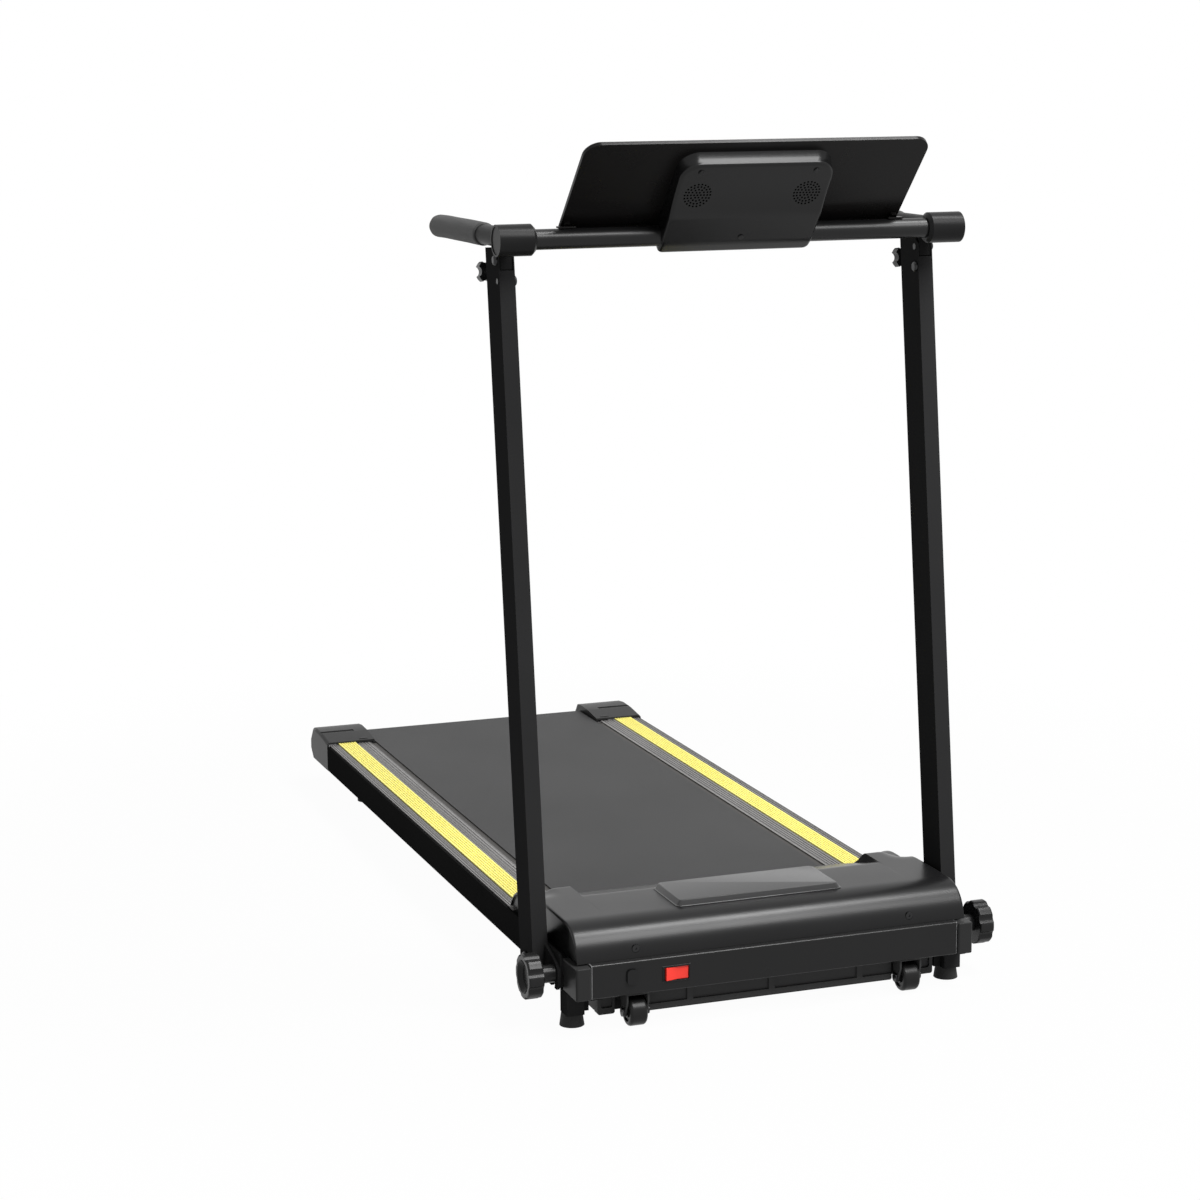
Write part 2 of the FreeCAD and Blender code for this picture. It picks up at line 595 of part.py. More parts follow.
def drive_belt():
    return belt_loop(PULLEY_X0 + 1.2, PULLEY_X1 - 1.2, (MOTOR_Y, MOTOR_Z), MOTOR_PULLEY_R + RUN_FIT,
                     (FRONT_ROLLER_Y, ROLLER_Z), ROLLER_PULLEY_R + RUN_FIT, DRIVE_BELT_THICK)


def controller_box():
    """Speed controller with its cooling fins, on the right of the tray."""
    case = box(30.0, 170.0, 84.0, 178.0, TRAY_Z1, 84.0)
    fins = 9
    for i in range(fins):
        x = 36.0 + i * 14.0
        case = case.fuse(box(x, x + 3.0, 88.0, 174.0, 84.0, 98.0))
    return single(case)


def cord_gland():
    """Power inlet in the belly shroud's back wall."""
    gland = box(-132.0, -104.0, 186.0, 200.0, 22.0, 42.0)
    return single(gland.cut(box(-129.0, -107.0, 190.0, 201.0, 25.0, 39.0)))


# ---------------------------------------------------------------- covers

def cover_line(inset):
    """Middle section of the motor cover, front to back, as wall lines moved inwards by inset."""
    i = inset
    return [(10 + i, COVER_Z0), (17 + i, 110 - 0.3 * i), (36 + 0.5 * i, 125 - i),
            (55 + 0.2 * i, 129.5 - i), (145, 130 - i), (262 - 3.5 * i, 96), (262 - 3.5 * i, COVER_Z0)]


def hood_line(inset):
    """Section of the hoods over the foot rails, which stay high almost to the back edge."""
    i = inset
    return [(10 + i, COVER_Z0), (17 + i, 110 - 0.3 * i), (36 + 0.5 * i, 125 - i),
            (55 + 0.2 * i, 129.5 - i), (145, 130 - i), (184, 122 - i), (199, 127.5 - i),
            (222 - 0.3 * i, 124 - i), (250 - i, 110 - i), (266 - i, 92), (266 - i, COVER_Z0)]


def motor_cover():
    outer = slab_x(cover_line(0), -HOOD_X0, HOOD_X0)
    inner = slab_x(cover_line(COVER_WALL), -HOOD_X0, HOOD_X0)
    hood_out = slab_x(hood_line(0), HOOD_X0 - 0.01, COVER_HALF)
    hood_in = slab_x(hood_line(COVER_WALL), HOOD_X0 + COVER_WALL, COVER_HALF - COVER_WALL)
    link = slab_x(cover_line(COVER_WALL), HOOD_X0 - 1, HOOD_X0 + COVER_WALL + 1)
    shell = outer.fuse(hood_out).fuse(mirrored(hood_out))
    shell = shell.cut(inner).cut(hood_in).cut(mirrored(hood_in)).cut(link).cut(mirrored(link))
    mouth = box(HOOD_X0 + 4.0, COVER_HALF - 4.0, 255.0, 270.0, COVER_Z0 - 1, 96.0)
    shell = shell.cut(mouth).cut(mirrored(mouth))
    shell = shell.cut(box(-BELT_HALF, BELT_HALF, 225.0, 270.0, COVER_Z0 - 1, 92.0))
    skirt = box(COVER_HALF - COVER_WALL, COVER_HALF, 47.5, 250.0, SHELF_Z, COVER_Z0 + 0.5)
    shell = shell.fuse(skirt).fuse(mirrored(skirt))
    for x in COVER_SCREW_XS:
        shell = shell.cut(rod_y(x, 5.0, COVER_SCREW_Y, COVER_SCREW_Z, 5.0))
    return single(shell)


def name_plate():
    """Blank raised plate with bevelled ends on top of the cover."""
    base = slab_x([(57, 130.0), (60, 137.5), (141, 137.5), (143, 130.0)], -112.0, 112.0)
    for side in (-1, 1):
        wedge = Part.makeBox(20, 120, 20, vec(0, 40, 130))
        wedge.rotate(vec(0, 40, 130), vec(0, 1, 0), -28.0)
        wedge.translate(vec(112.0, 0, 0))
        base = base.cut(wedge if side > 0 else mirrored(wedge))
    return single(base)


def cover_screws():
    solids = []
    for x in COVER_SCREW_XS:
        screw = rod_y(x, COVER_SCREW_Y - 2.4, COVER_SCREW_Y, COVER_SCREW_Z, 4.6)
        solids.append(screw.cut(rod_y(x, 10.0, COVER_SCREW_Y - 1.2, COVER_SCREW_Z, 1.6)))
    return Part.Compound(solids)


def belly_shroud():
    """Open-topped moulding under the motor: narrow between the wheels and wide behind them."""
    front = box(-SHROUD_FRONT_HALF, SHROUD_FRONT_HALF, 23.0, 45.0, SHROUD_Z0, 44.4)
    rear = box(-SHROUD_HALF, SHROUD_HALF, 42.0, 188.0, SHROUD_Z0, 44.4)
    rear = rear.makeFillet(6.0, edges_along(rear, vec(1, 0, 0), lambda p: p.z < SHROUD_Z0 + 1 and p.y > 100))
    rear = rear.makeFillet(3.0, edges_along(rear, vec(0, 1, 0), lambda p: p.z < SHROUD_Z0 + 1))
    lip = box(-SHROUD_FRONT_HALF, SHROUD_FRONT_HALF, 20.5, 30.0, SHROUD_Z0 + 2, SHROUD_Z0 + 9)
    shell = front.fuse(rear).fuse(lip)
    for x in (-109.0, 0.0, 120.0):
        shell = shell.fuse(box(x - 4.0, x + 4.0, 20.5, 26.0, SHROUD_Z0 + 8, 44.4))
    inside = SHROUD_FRONT_HALF - SHROUD_WALL
    shell = shell.cut(box(-inside, inside, 25.5, 46.0, SHROUD_Z0 + SHROUD_WALL, 45.0))
    inside = SHROUD_HALF - SHROUD_WALL
    shell = shell.cut(box(-inside, inside, 44.5, 185.5, SHROUD_Z0 + SHROUD_WALL, 45.0))
    for side in (-1, 1):
        block = box(204.0, SHROUD_HALF, 31.0, 42.5, SHROUD_Z0 - 1.0, 40.0)
        block = block.makeFillet(3.0, edges_along(block, vec(0, 1, 0), lambda p: p.z < SHROUD_Z0))
        pocket = box(207.0, 222.0, 30.0, 34.0, SHROUD_Z0 + 7.0, 41.0)
        pocket = pocket.makeFillet(3.0, edges_along(pocket, vec(0, 1, 0), lambda p: p.z < SHROUD_Z0 + 8))
        block = block.cut(pocket)
        shell = shell.fuse(mirrored(block) if side < 0 else block)
    for x in (-150.0, -50.0, 50.0, 150.0):
        shell = shell.fuse(rod_z(x, 166.0, SHROUD_Z0 + 1, TRAY_Z0, 5.0))
    shell = shell.cut(box(-132.0, -104.0, 184.0, 190.0, 22.0, 42.0))
    return single(shell)


# ---------------------------------------------------------------- switch and breaker

def switch_body():
    """Bezel on the beam and the case behind it."""
    case = SWITCH_ROOM + SWITCH_WALL
    case_h = SWITCH_ROOM_H + SWITCH_WALL
    bezel = box(SWITCH_X - SWITCH_HALF, SWITCH_X + SWITCH_HALF, -1.2, 0,
                SWITCH_Z - SWITCH_HALF_H, SWITCH_Z + SWITCH_HALF_H)
    barrel = box(SWITCH_X - case, SWITCH_X + case, 0, 20.0, SWITCH_Z - case_h, SWITCH_Z + case_h)
    room = box(SWITCH_X - SWITCH_ROOM, SWITCH_X + SWITCH_ROOM, -2, 14.0,
               SWITCH_Z - SWITCH_ROOM_H, SWITCH_Z + SWITCH_ROOM_H)
    return single(bezel.fuse(barrel).cut(room))


def power_rocker():
    """Rocker resting on its off side; its two faces meet in a shallow valley."""
    half = ROCKER_HALF
    outline = [(-half, -1.2), (0, 0.4), (half, -1.2), (half, 4.0), (3.0, 9.0), (-3.0, 9.0), (-half, 4.0)]
    z0 = SWITCH_Z - ROCKER_HALF_H
    points = [vec(SWITCH_X + x, y, z0) for x, y in outline]
    points.append(points[0])
    rocker = Part.Face(Part.makePolygon(points)).extrude(vec(0, 0, 2 * ROCKER_HALF_H))
    rocker.rotate(vec(SWITCH_X, ROCKER_AXIS_Y, SWITCH_Z), vec(0, 0, 1), ROCKER_TILT)
    return rocker


def breaker_block(half, half_h, y0, y1):
    """Upright oblong with round corners, round the breaker's axis."""
    block = box(BREAKER_X - half, BREAKER_X + half, y0, y1, BREAKER_Z - half_h, BREAKER_Z + half_h)
    return block.makeFillet(5.0, edges_along(block, vec(0, 1, 0), lambda p: True))


def breaker_body():
    flange = breaker_block(BREAKER_HALF, BREAKER_HALF_H, -0.8, 0)
    barrel = rod_y(BREAKER_X, 0, 24.0, BREAKER_Z, BREAKER_BARREL_R)
    return single(flange.fuse(barrel).cut(rod_y(BREAKER_X, -2, 12.0, BREAKER_Z, 4.6)))


def breaker_button():
    """Reset button: an oblong cap on a round stem."""
    cap = breaker_block(BREAKER_HALF - 0.6, BREAKER_HALF_H - 0.6, -2.9, -1.0)
    return single(cap.fuse(rod_y(BREAKER_X, -1.0, 8.0, BREAKER_Z, 4.2)))


# ---------------------------------------------------------------- mast

def upright():
    """Flat-sided tube with a pivot sleeve and lock lug at its foot and an open top."""
    half = POST_DEPTH / 2
    front_high = (HINGE[1] - PIVOT[1]) / math.cos(TILT)
    hinge_s = (HINGE[0] - PIVOT[0]) * math.cos(TILT) - (HINGE[1] - PIVOT[1]) * math.sin(TILT)
    hinge_h = (HINGE[0] - PIVOT[0]) * math.sin(TILT) + (HINGE[1] - PIVOT[1]) * math.cos(TILT)
    over = front_high + 60.0
    tube = post_slab(PIVOT, [(-half, 0), (half, 0), (half, over), (-half, over)], POST_X0, POST_X1)
    tube = tube.fuse(rod_x(POST_X0, POST_X1, PIVOT[0], PIVOT[1], half))
    tube = tube.cut(box(POST_X0 - 1, POST_X1 + 1, 100, 400, POST_TOP_Z, POST_TOP_Z + 100))
    corner = [(hinge_s - 10.06, hinge_h + 3), (hinge_s + 0.5, hinge_h + 13.5),
              (hinge_s - 10.06, hinge_h + 20)]
    tube = tube.cut(post_slab(PIVOT, corner, POST_X0 - 1, POST_X1 + 1))
    wall = half - POST_WALL
    room = post_slab(PIVOT, [(-wall, 0), (wall, 0), (wall, over), (-wall, over)],
                     POST_X0 + POST_WALL, POST_X1 - POST_WALL)
    room = room.fuse(rod_x(POST_X0 + POST_WALL, POST_X1 - POST_WALL, PIVOT[0], PIVOT[1], wall))
    tube = tube.cut(room)
    slot = post_slab(HINGE, [(-12, SLOT_TOP), (0, SLOT_TOP), (0, 30), (-12, 30)],
                     POST_X0 + POST_WALL, POST_X1 - POST_WALL)
    tube = tube.cut(slot)
    tube = tube.fuse(rod_x(POST_X0, POST_X1, PIVOT[0], PIVOT[1], PIVOT_R + PIVOT_FIT + 3.0))
    tube = tube.cut(rod_x(POST_X0 - 1, POST_X1 + 1, PIVOT[0], PIVOT[1], PIVOT_R + PIVOT_FIT))
    tube = tube.fuse(lock_lug())
    tube = tube.cut(rod_x(POST_X0 - 1, POST_X1 + 1, HINGE[0], HINGE[1], HINGE_R + 0.05))
    stop_y, stop_z = on_post(HINGE, STOP_S, STOP_H)
    tube = tube.cut(rod_x(POST_X0 - 1, POST_X1 + 1, stop_y, stop_z, STOP_R + 0.05))
    start = on_post(HINGE, 30.0, STAR_H)
    axis = vec(0, math.cos(TILT), -math.sin(TILT))
    star_hole = Part.makeCylinder(STAR_STUD_R + RUN_FIT, 20.0, vec(STAR_X, start[0], start[1]), axis)
    return single(tube.cut(star_hole))


def lock_lug():
    """Lug on the post's inner face, slotted so that it lifts off the lock stud as the mast folds."""
    around = [(-20, 24), (-60, 12), (-71, 4), (-71, -14), (-66, -22), (-24, -22)]
    lug = slab_x([(PIVOT[0] + u, PIVOT[1] + w) for u, w in around], POST_X0, LUG_X1)
    ring = rod_x(POST_X0 - 1, LUG_X1 + 1, PIVOT[0], PIVOT[1], 62.0)
    ring = ring.cut(rod_x(POST_X0 - 1, LUG_X1 + 1, PIVOT[0], PIVOT[1], 51.2))
    below = box(POST_X0 - 1, LUG_X1 + 1, LOCK[0] - 30, PIVOT[0], LOCK[1] - 60, LOCK[1])
    slot = ring.common(below)
    slot = slot.fuse(rod_x(POST_X0 - 1, LUG_X1 + 1, LOCK[0], LOCK[1], LOCK_STUD_R + 0.4))
    return lug.cut(slot)


def handle_bolts():
    """Pivot bolts and stop bolts at the top of the posts."""
    pivot = rod_x(POST_X0 - 0.5, POST_X1 + 0.5, HINGE[0], HINGE[1], HINGE_R)
    dome = rod_x(POST_X1, POST_X1 + 4.4, HINGE[0], HINGE[1], 6.6)
    pivot = pivot.fuse(dome.makeFillet(3.6, [e for e in dome.Edges
                                             if e.CenterOfMass.x > POST_X1 + 4.3]))
    y, z = on_post(HINGE, STOP_S, STOP_H)
    stop = rod_x(POST_X0 - 0.5, POST_X1 + 0.5, y, z, STOP_R)
    head = rod_x(POST_X0 - 3.6, POST_X0, y, z, 6.6)
    stop = stop.fuse(head.makeFillet(3.0, [e for e in head.Edges
                                           if e.CenterOfMass.x < POST_X0 - 3.5]))
    pivot = single(pivot)
    stop = single(stop)
    return Part.Compound([mirrored(pivot), pivot, mirrored(stop), stop])


def lock_knob():
    """Large lobed knob with a dished face, its hub and its stud."""
    y, z = LOCK
    knob = rod_x(LOCK_X0, LOCK_X1, y, z, LOCK_R)
    knob = knob.makeFillet(2.5, [e for e in knob.Edges if len(e.Vertexes) == 1])
    lobes = 8
    for i in range(lobes):
        turn = math.radians((i + 0.5) * 360.0 / lobes)
        far = LOCK_R + 4.5
        knob = knob.cut(rod_x(LOCK_X0 - 1, LOCK_X1 + 1, y + far * math.cos(turn),
                              z + far * math.sin(turn), 8.0))
    dish = Part.makeCone(21.0, 17.0, 6.0, vec(LOCK_X1 + 0.01, y, z), vec(-1, 0, 0))
    knob = knob.cut(dish)
    knob = knob.fuse(rod_x(LUG_X1 + 0.3, LOCK_X0 + 1, y, z, LOCK_HUB_R))
    knob = knob.fuse(rod_x(BOSS_X0 + 1, LOCK_X0, y, z, LOCK_STUD_R))
    return single(knob)


def star_knob(first):
    """Five-lobed knob behind the post, screwed through its rear wall; its first lobe lies at an angle."""
    rear = on_post(HINGE, POST_DEPTH - HINGE_BEHIND + 0.35, STAR_H)
    axis = vec(0, math.cos(TILT), -math.sin(TILT))
    base = vec(STAR_X, rear[0], rear[1])
    disc_at = base + axis * STAR_HUB_LONG
    knob = Part.makeCylinder(STAR_R, STAR_LONG - STAR_HUB_LONG, disc_at, axis)
    lobes = 5
    for i in range(lobes):
        turn = first + math.radians((i + 0.5) * 360.0 / lobes)
        side = vec(math.cos(turn), 0, 0)
        side = side + vec(0, math.sin(TILT), math.cos(TILT)) * math.sin(turn)
        cut_base = disc_at + side * (STAR_R + 2.4) - axis
        knob = knob.cut(Part.makeCylinder(7.0, STAR_LONG, cut_base, axis))
    knob = knob.fuse(Part.makeCylinder(STAR_HUB_R, STAR_HUB_LONG + 1, base, axis))
    stud_long = STAR_STUD_IN + POST_WALL + 0.35 + 4
    stud = Part.makeCylinder(STAR_STUD_R, stud_long, base - axis * (stud_long - 4), axis)
    return single(knob.fuse(stud))


# ---------------------------------------------------------------- handlebar

def crossbar():
    end = SLEEVE_X1 - 5.0
    return rod_x(-end, end, BAR[0], BAR[1], BAR_R).cut(
        rod_x(-end - 1, end + 1, BAR[0], BAR[1], BAR_R - 2.0))


def tee_sleeves():
    """Moulded sleeves over the joints of the crossbar and the handle arms."""
    sleeve = rod_x(SLEEVE_X0, SLEEVE_X1, BAR[0], BAR[1], SLEEVE_R)
    inner_rim = [e for e in sleeve.Edges if len(e.Vertexes) == 1 and e.CenterOfMass.x < SLEEVE_X0 + 1]
    sleeve = sleeve.makeChamfer(4.0, inner_rim)
    sleeve = sleeve.cut(rod_x(SLEEVE_X1 - 1.0, SLEEVE_X1 + 1, BAR[0], BAR[1], SLEEVE_R - 2.5))
    return both(single(sleeve.cut(rod_x(SLEEVE_X0 - 1, SLEEVE_X1 - 5.0, BAR[0], BAR[1], BAR_R))))


def handle_arm():
    """Handle tube with the hinge stub that drops into the top of the post."""
    tube = rod_y(ARM_X, BAR[0] + 10, ARM_Y1, BAR[1], ARM_R)
    room = rod_y(ARM_X, BAR[0] + 9, ARM_Y1 + 1, BAR[1], ARM_R - ARM_WALL)
    top_h = (BAR[1] - HINGE[1] - ARM_R + 4.0) / math.cos(TILT)
    stub = post_slab(HINGE, [(-8, -11.9), (-4, -11.9), (4, -8), (16, -8), (16, top_h + 2), (-8, top_h)],
                     STUB_X0, STUB_X1)
    disc = rod_x(STUB_X0, STUB_X1, HINGE[0], HINGE[1], TAIL_R)
    wedge = post_slab(HINGE, [(3.1, 0), (40, -7), (40, -40), (3.1, -40)], STUB_X0, STUB_X1)
    arm = tube.fuse(stub.cut(room)).fuse(disc.common(wedge)).cut(room)
    arm = arm.cut(rod_x(SLEEVE_X0 - 10, SLEEVE_X1 + 10, BAR[0], BAR[1], SLEEVE_R))
    arm = arm.cut(rod_x(STUB_X0 - 1, STUB_X1 + 1, HINGE[0], HINGE[1], HINGE_R + HINGE_FIT))
    return single(arm)


def grip():
    """Foam grip with a rounded closed end."""
    foam = rod_y(ARM_X, GRIP_Y0, GRIP_Y1, BAR[1], GRIP_R)
    end = [e for e in foam.Edges if len(e.Vertexes) == 1 and e.CenterOfMass.y > GRIP_Y1 - 1]
    foam = foam.makeFillet(9.0, end)
    start = [e for e in foam.Edges if len(e.Vertexes) == 1 and e.CenterOfMass.y < GRIP_Y0 + 1]
    foam = foam.makeFillet(1.5, start)
    return single(foam.cut(rod_y(ARM_X, GRIP_Y0 - 1, ARM_Y1, BAR[1], ARM_R)))


# ---------------------------------------------------------------- console

def console_panel():
    """Flat panel with rounded top corners and a tablet ledge along its lower edge."""
    panel = panel_block(-PANEL_HALF, PANEL_HALF, 0, PANEL_LONG, -PANEL_THICK, 0)
    across = vec(0, PANEL_OUT[0], PANEL_OUT[1])
    top_y, top_z = on_panel(PANEL_LONG, -PANEL_THICK / 2)
    corners = edges_along(panel, across, lambda p: math.hypot(p.y - top_y, p.z - top_z) < 2)
    panel = panel.makeFillet(PANEL_CORNER, corners)
    ledge = panel_block(-LEDGE_HALF, LEDGE_HALF, -3, 0.5, -27, -1)
    lip = panel_block(-LEDGE_HALF, LEDGE_HALF, -3, 8, -27, -24.5)
    panel = panel.fuse(ledge).fuse(lip)
    tab_z = BAR[1] + BAR_R + 0.2
    tab = box(TAB_X0, TAB_X1, BAR[0] - 5.5, BAR[0] + 9.0, tab_z, tab_z + 2.0)
    boss = panel_block(TAB_X0 + 6.0, TAB_X0 + 13.0, 9.0, 15.0, -1, 4.0)
    for part in (tab, mirrored(tab), boss, mirrored(boss)):
        panel = panel.fuse(part)
    panel = panel.cut(panel_block(-70, 70, 70, 122, -PANEL_THICK - 1, -3.5))
    panel = panel.cut(panel_block(-95, 95, 22, 58, -PANEL_THICK - 1, -4.2))
    dock = panel_slab([(30, -2), (54, -2), (54, -6), (30, -6)], 129, 153)
    return single(panel.cut(dock))


def display_window():
    return panel_block(-69.8, 69.8, 70.2, 121.8, -5.2, -3.5)


def membrane_keypad():
    """Flat keypad overlay with raised key domes that do not travel."""
    pad = panel_block(-94.8, 94.8, 22.2, 57.8, -5.0, -4.2)
    y, z = on_panel(40, -5.0)
    user = vec(0, -PANEL_OUT[0], -PANEL_OUT[1])
    for x in (-72.0, -36.0, 0.0, 36.0, 72.0):
        pad = pad.fuse(Part.makeCylinder(9.0, 1.1, vec(x, y, z) - user * 0.3, user))
    return single(pad)


def console_housing():
    """Rear housing of the console, wrapped round the crossbar, with its speaker holes."""
    outline = [(128, 0), (124, 12), (120.5, 16), (88, 19), (47.5, 26.5), (1, 29.5), (-17, 27),
               (-17, 4), (-14, 0)]
    body = panel_slab(outline, -HOUSING_HALF, HOUSING_HALF)
    out = vec(0, PANEL_OUT[0], PANEL_OUT[1])
    mask = panel_block(-HOUSING_HALF, HOUSING_HALF, -17, 128, -1, 32)
    split_z = on_panel(60, 15)[1]
    mask = mask.makeFillet(20.0, edges_along(mask, out, lambda p: p.z > split_z))
    mask = mask.makeFillet(8.0, edges_along(mask, out, lambda p: p.z < split_z))
    body = body.common(mask)
    room = panel_slab([(125, -1), (121.5, 11), (118.5, 14), (88, 17), (47.5, 24.5), (19, 26.3),
                       (19, -1)], -HOUSING_HALF + HOUSING_WALL, HOUSING_HALF - HOUSING_WALL)
    corners = panel_block(-HOUSING_HALF + HOUSING_WALL, HOUSING_HALF - HOUSING_WALL, 19, 125, -1, 32)
    corners = corners.makeFillet(18.0, edges_along(corners, out, lambda p: p.z > split_z))
    body = body.cut(room.common(corners))
    saddle = rod_x(-PANEL_HALF, PANEL_HALF, BAR[0], BAR[1], SADDLE_R)
    body = body.fuse(saddle)
    body = body.cut(rod_x(-PANEL_HALF - 1, PANEL_HALF + 1, BAR[0], BAR[1], BAR_R))
    tab_room = box(TAB_X0 - 0.3, TAB_X1, BAR[0] - 20, BAR[0] + 20, BAR[1] + BAR_R - 0.6, BAR[1] + 30)
    body = body.cut(tab_room).cut(mirrored(tab_room))
    panel_zone = panel_block(-PANEL_HALF - 5, PANEL_HALF + 5, -3, PANEL_LONG, -30, 0)
    body = body.cut(panel_zone)
    for x, up, o in CONSOLE_SCREWS:
        y, z = on_panel(up, o - 0.6)
        body = body.cut(Part.makeCylinder(4.0, 5.0, vec(x, y, z), out))
    for x, up, o, n_up, n_out in speaker_holes():
        y, z = on_panel(up, o)
        n_y = n_up * PANEL_UP[0] + n_out * PANEL_OUT[0]
        n_z = n_up * PANEL_UP[1] + n_out * PANEL_OUT[1]
        start = vec(x, y + n_y * 2, z + n_z * 2)
        body = body.cut(Part.makeCylinder(SPEAKER_HOLE_R, 6.0, start, vec(0, -n_y, -n_z)))
    return single(body)


def facet_frame():
    d_up = FACET[1][0] - FACET[0][0]
    d_out = FACET[1][1] - FACET[0][1]
    long = math.hypot(d_up, d_out)
    along = (d_up / long, d_out / long)
    return along, (along[1], -along[0])


def speaker_middle():
    """Up and out of the middle of the speakers' grilles, on the middle facet."""
    share = (FACET[0][0] - SPEAKER_UP) / (FACET[0][0] - FACET[1][0])
    return SPEAKER_UP, FACET[0][1] + share * (FACET[1][1] - FACET[0][1])


def speaker_holes():
    """Hole centres in rings over each speaker, with the facet's outward normal."""
    along, normal = facet_frame()
    up, out = speaker_middle()
    holes = []
    for side in (-1, 1):
        for ring, count in SPEAKER_RINGS:
            for i in range(count):
                turn = 2 * math.pi * i / count
                step = ring * math.sin(turn)
                x = side * SPEAKER_X + ring * math.cos(turn)
                holes.append((x, up + along[0] * step, out + along[1] * step, normal[0], normal[1]))
    return holes


def console_speakers():
    along, normal = facet_frame()
    up, out = speaker_middle()
    y, z = on_panel(up - normal[0] * 4.4, out - normal[1] * 4.4)
    n_y = normal[0] * PANEL_UP[0] + normal[1] * PANEL_OUT[0]
    n_z = normal[0] * PANEL_UP[1] + normal[1] * PANEL_OUT[1]
    inward = vec(0, -n_y, -n_z)
    solids = []
    for side in (-1, 1):
        solids.append(Part.makeCylinder(17.0, 8.0, vec(side * SPEAKER_X, y, z), inward))
    return Part.Compound(solids)


def console_board():
    """Circuit board on four standoffs behind the display."""
    board = panel_block(-48, 48, 64, 112, 3.0, 4.6)
    for x in (-44, 44):
        for up in (68, 108):
            y, z = on_panel(up, 0)
            board = board.fuse(Part.makeCylinder(2.5, 3.5, vec(x, y, z),
                                                 vec(0, PANEL_OUT[0], PANEL_OUT[1])))
    return single(board)


def console_screws():
    solids = []
    for x, up, out in CONSOLE_SCREWS:
        y, z = on_panel(up, out - 0.6)
        screw = Part.makeCylinder(3.6, 1.6, vec(x, y, z), vec(0, PANEL_OUT[0], PANEL_OUT[1]))
        solids.append(screw)
    return Part.Compound(solids)


def safety_key():
    """Magnetic stop key in its dock; it lifts straight off the panel."""
    key = panel_slab([(30.5, -2.3), (53.5, -2.3), (53.5, -14), (50, -17), (34, -17), (30.5, -14)],
                     129.5, 152.5)
    return key


def main():
    os.makedirs("parts", exist_ok=True)
    save("front_beam", front_beam())
    save("beam_end_caps", beam_end_caps())
    rail = side_rail()
    save("side_rail_left", mirrored(rail))
    save("side_rail_right", rail)
    save("deck_crossmembers", deck_crossmembers())
    save("front_legs", front_legs())
    save("rubber_feet", rubber_feet())
    save("pivot_plates", pivot_plates())
    save("wheel_brackets", wheel_brackets())
    save("pivot_bolts", pivot_bolts())
    transport = wheel()
    save("wheel_left", mirrored(transport))
    save("wheel_right", transport)

    save("front_roller", roller(FRONT_ROLLER_Y))
    save("rear_roller", roller(REAR_ROLLER_Y))
    save("roller_pulley", roller_pulley())
    save("roller_axles", roller_axles())
    save("roller_bearings", roller_bearings())
    save("tension_bolts", tension_bolts())
    save("walking_belt", walking_belt())
    save("deck_board", deck_board())
    save("deck_cushions", deck_cushions())
    foot = foot_rail()
    save("foot_rail_left", mirrored(foot))
    save("foot_rail_right", foot)
    save("grip_strips", grip_strips())
    cap = rear_cap()
    save("rear_cap_left", mirrored(cap))
    save("rear_cap_right", cap)

    save("motor_body", motor_body())
    save("motor_rotor", motor_rotor())
    save("motor_mount", motor_mount())
    save("drive_belt", drive_belt())
    save("controller_box", controller_box())
    save("cord_gland", cord_gland())

    save("motor_cover", motor_cover())
    save("name_plate", name_plate())
    save("cover_screws", cover_screws())
    save("belly_shroud", belly_shroud())
    save("switch_body", switch_body())
    save("power_rocker", power_rocker())
    save("breaker_body", breaker_body())
    save("breaker_button", breaker_button())

    post = upright()
    save("upright_left", mirrored(post))
    save("upright_right", post)
    save("handle_bolts", handle_bolts())
    lock = lock_knob()
    save("lock_knob_left", mirrored(lock))
    save("lock_knob_right", lock)
    save("star_knob_left", mirrored(star_knob(math.pi)))
    save("star_knob_right", star_knob(0.0))

    save("crossbar", crossbar())
    save("tee_sleeves", tee_sleeves())
    save("handle_arms", both(handle_arm()))
    foam = grip()
    save("grip_left", mirrored(foam))
    save("grip_right", foam)
    save("console_panel", console_panel())
    save("console_housing", console_housing())
    save("display_window", display_window())
    save("membrane_keypad", membrane_keypad())
    save("console_board", console_board())
    save("console_speakers", console_speakers())
    save("console_screws", console_screws())
    save("safety_key", safety_key())


main()
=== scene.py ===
import math

import bmesh
import bpy
from mathutils import Matrix, Vector


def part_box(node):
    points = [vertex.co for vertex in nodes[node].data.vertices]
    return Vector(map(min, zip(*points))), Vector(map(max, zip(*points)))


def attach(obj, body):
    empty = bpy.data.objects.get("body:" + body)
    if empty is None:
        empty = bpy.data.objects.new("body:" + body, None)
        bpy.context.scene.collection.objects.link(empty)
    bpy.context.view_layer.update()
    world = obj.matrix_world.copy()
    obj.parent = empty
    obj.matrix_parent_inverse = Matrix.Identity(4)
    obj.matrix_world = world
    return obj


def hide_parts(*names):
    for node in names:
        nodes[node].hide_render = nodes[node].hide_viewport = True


MM = 0.001
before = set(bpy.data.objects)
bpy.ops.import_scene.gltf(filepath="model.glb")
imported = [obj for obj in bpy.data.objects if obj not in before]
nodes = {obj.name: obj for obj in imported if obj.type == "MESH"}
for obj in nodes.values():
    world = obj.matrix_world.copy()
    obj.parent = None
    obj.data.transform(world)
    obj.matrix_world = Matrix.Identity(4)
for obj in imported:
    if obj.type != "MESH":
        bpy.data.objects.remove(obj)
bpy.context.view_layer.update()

# ---- places read from the frame, in metres ----
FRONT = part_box("front_beam")[0].y        # face of the front beam; many places are measured from it
COVER_LOW, COVER_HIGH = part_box("motor_cover")
PLATE_LOW, PLATE_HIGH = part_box("name_plate")
BAR_LOW, BAR_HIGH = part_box("crossbar")
BAR_Y = (BAR_LOW.y + BAR_HIGH.y) / 2
BAR_Z = (BAR_LOW.z + BAR_HIGH.z) / 2

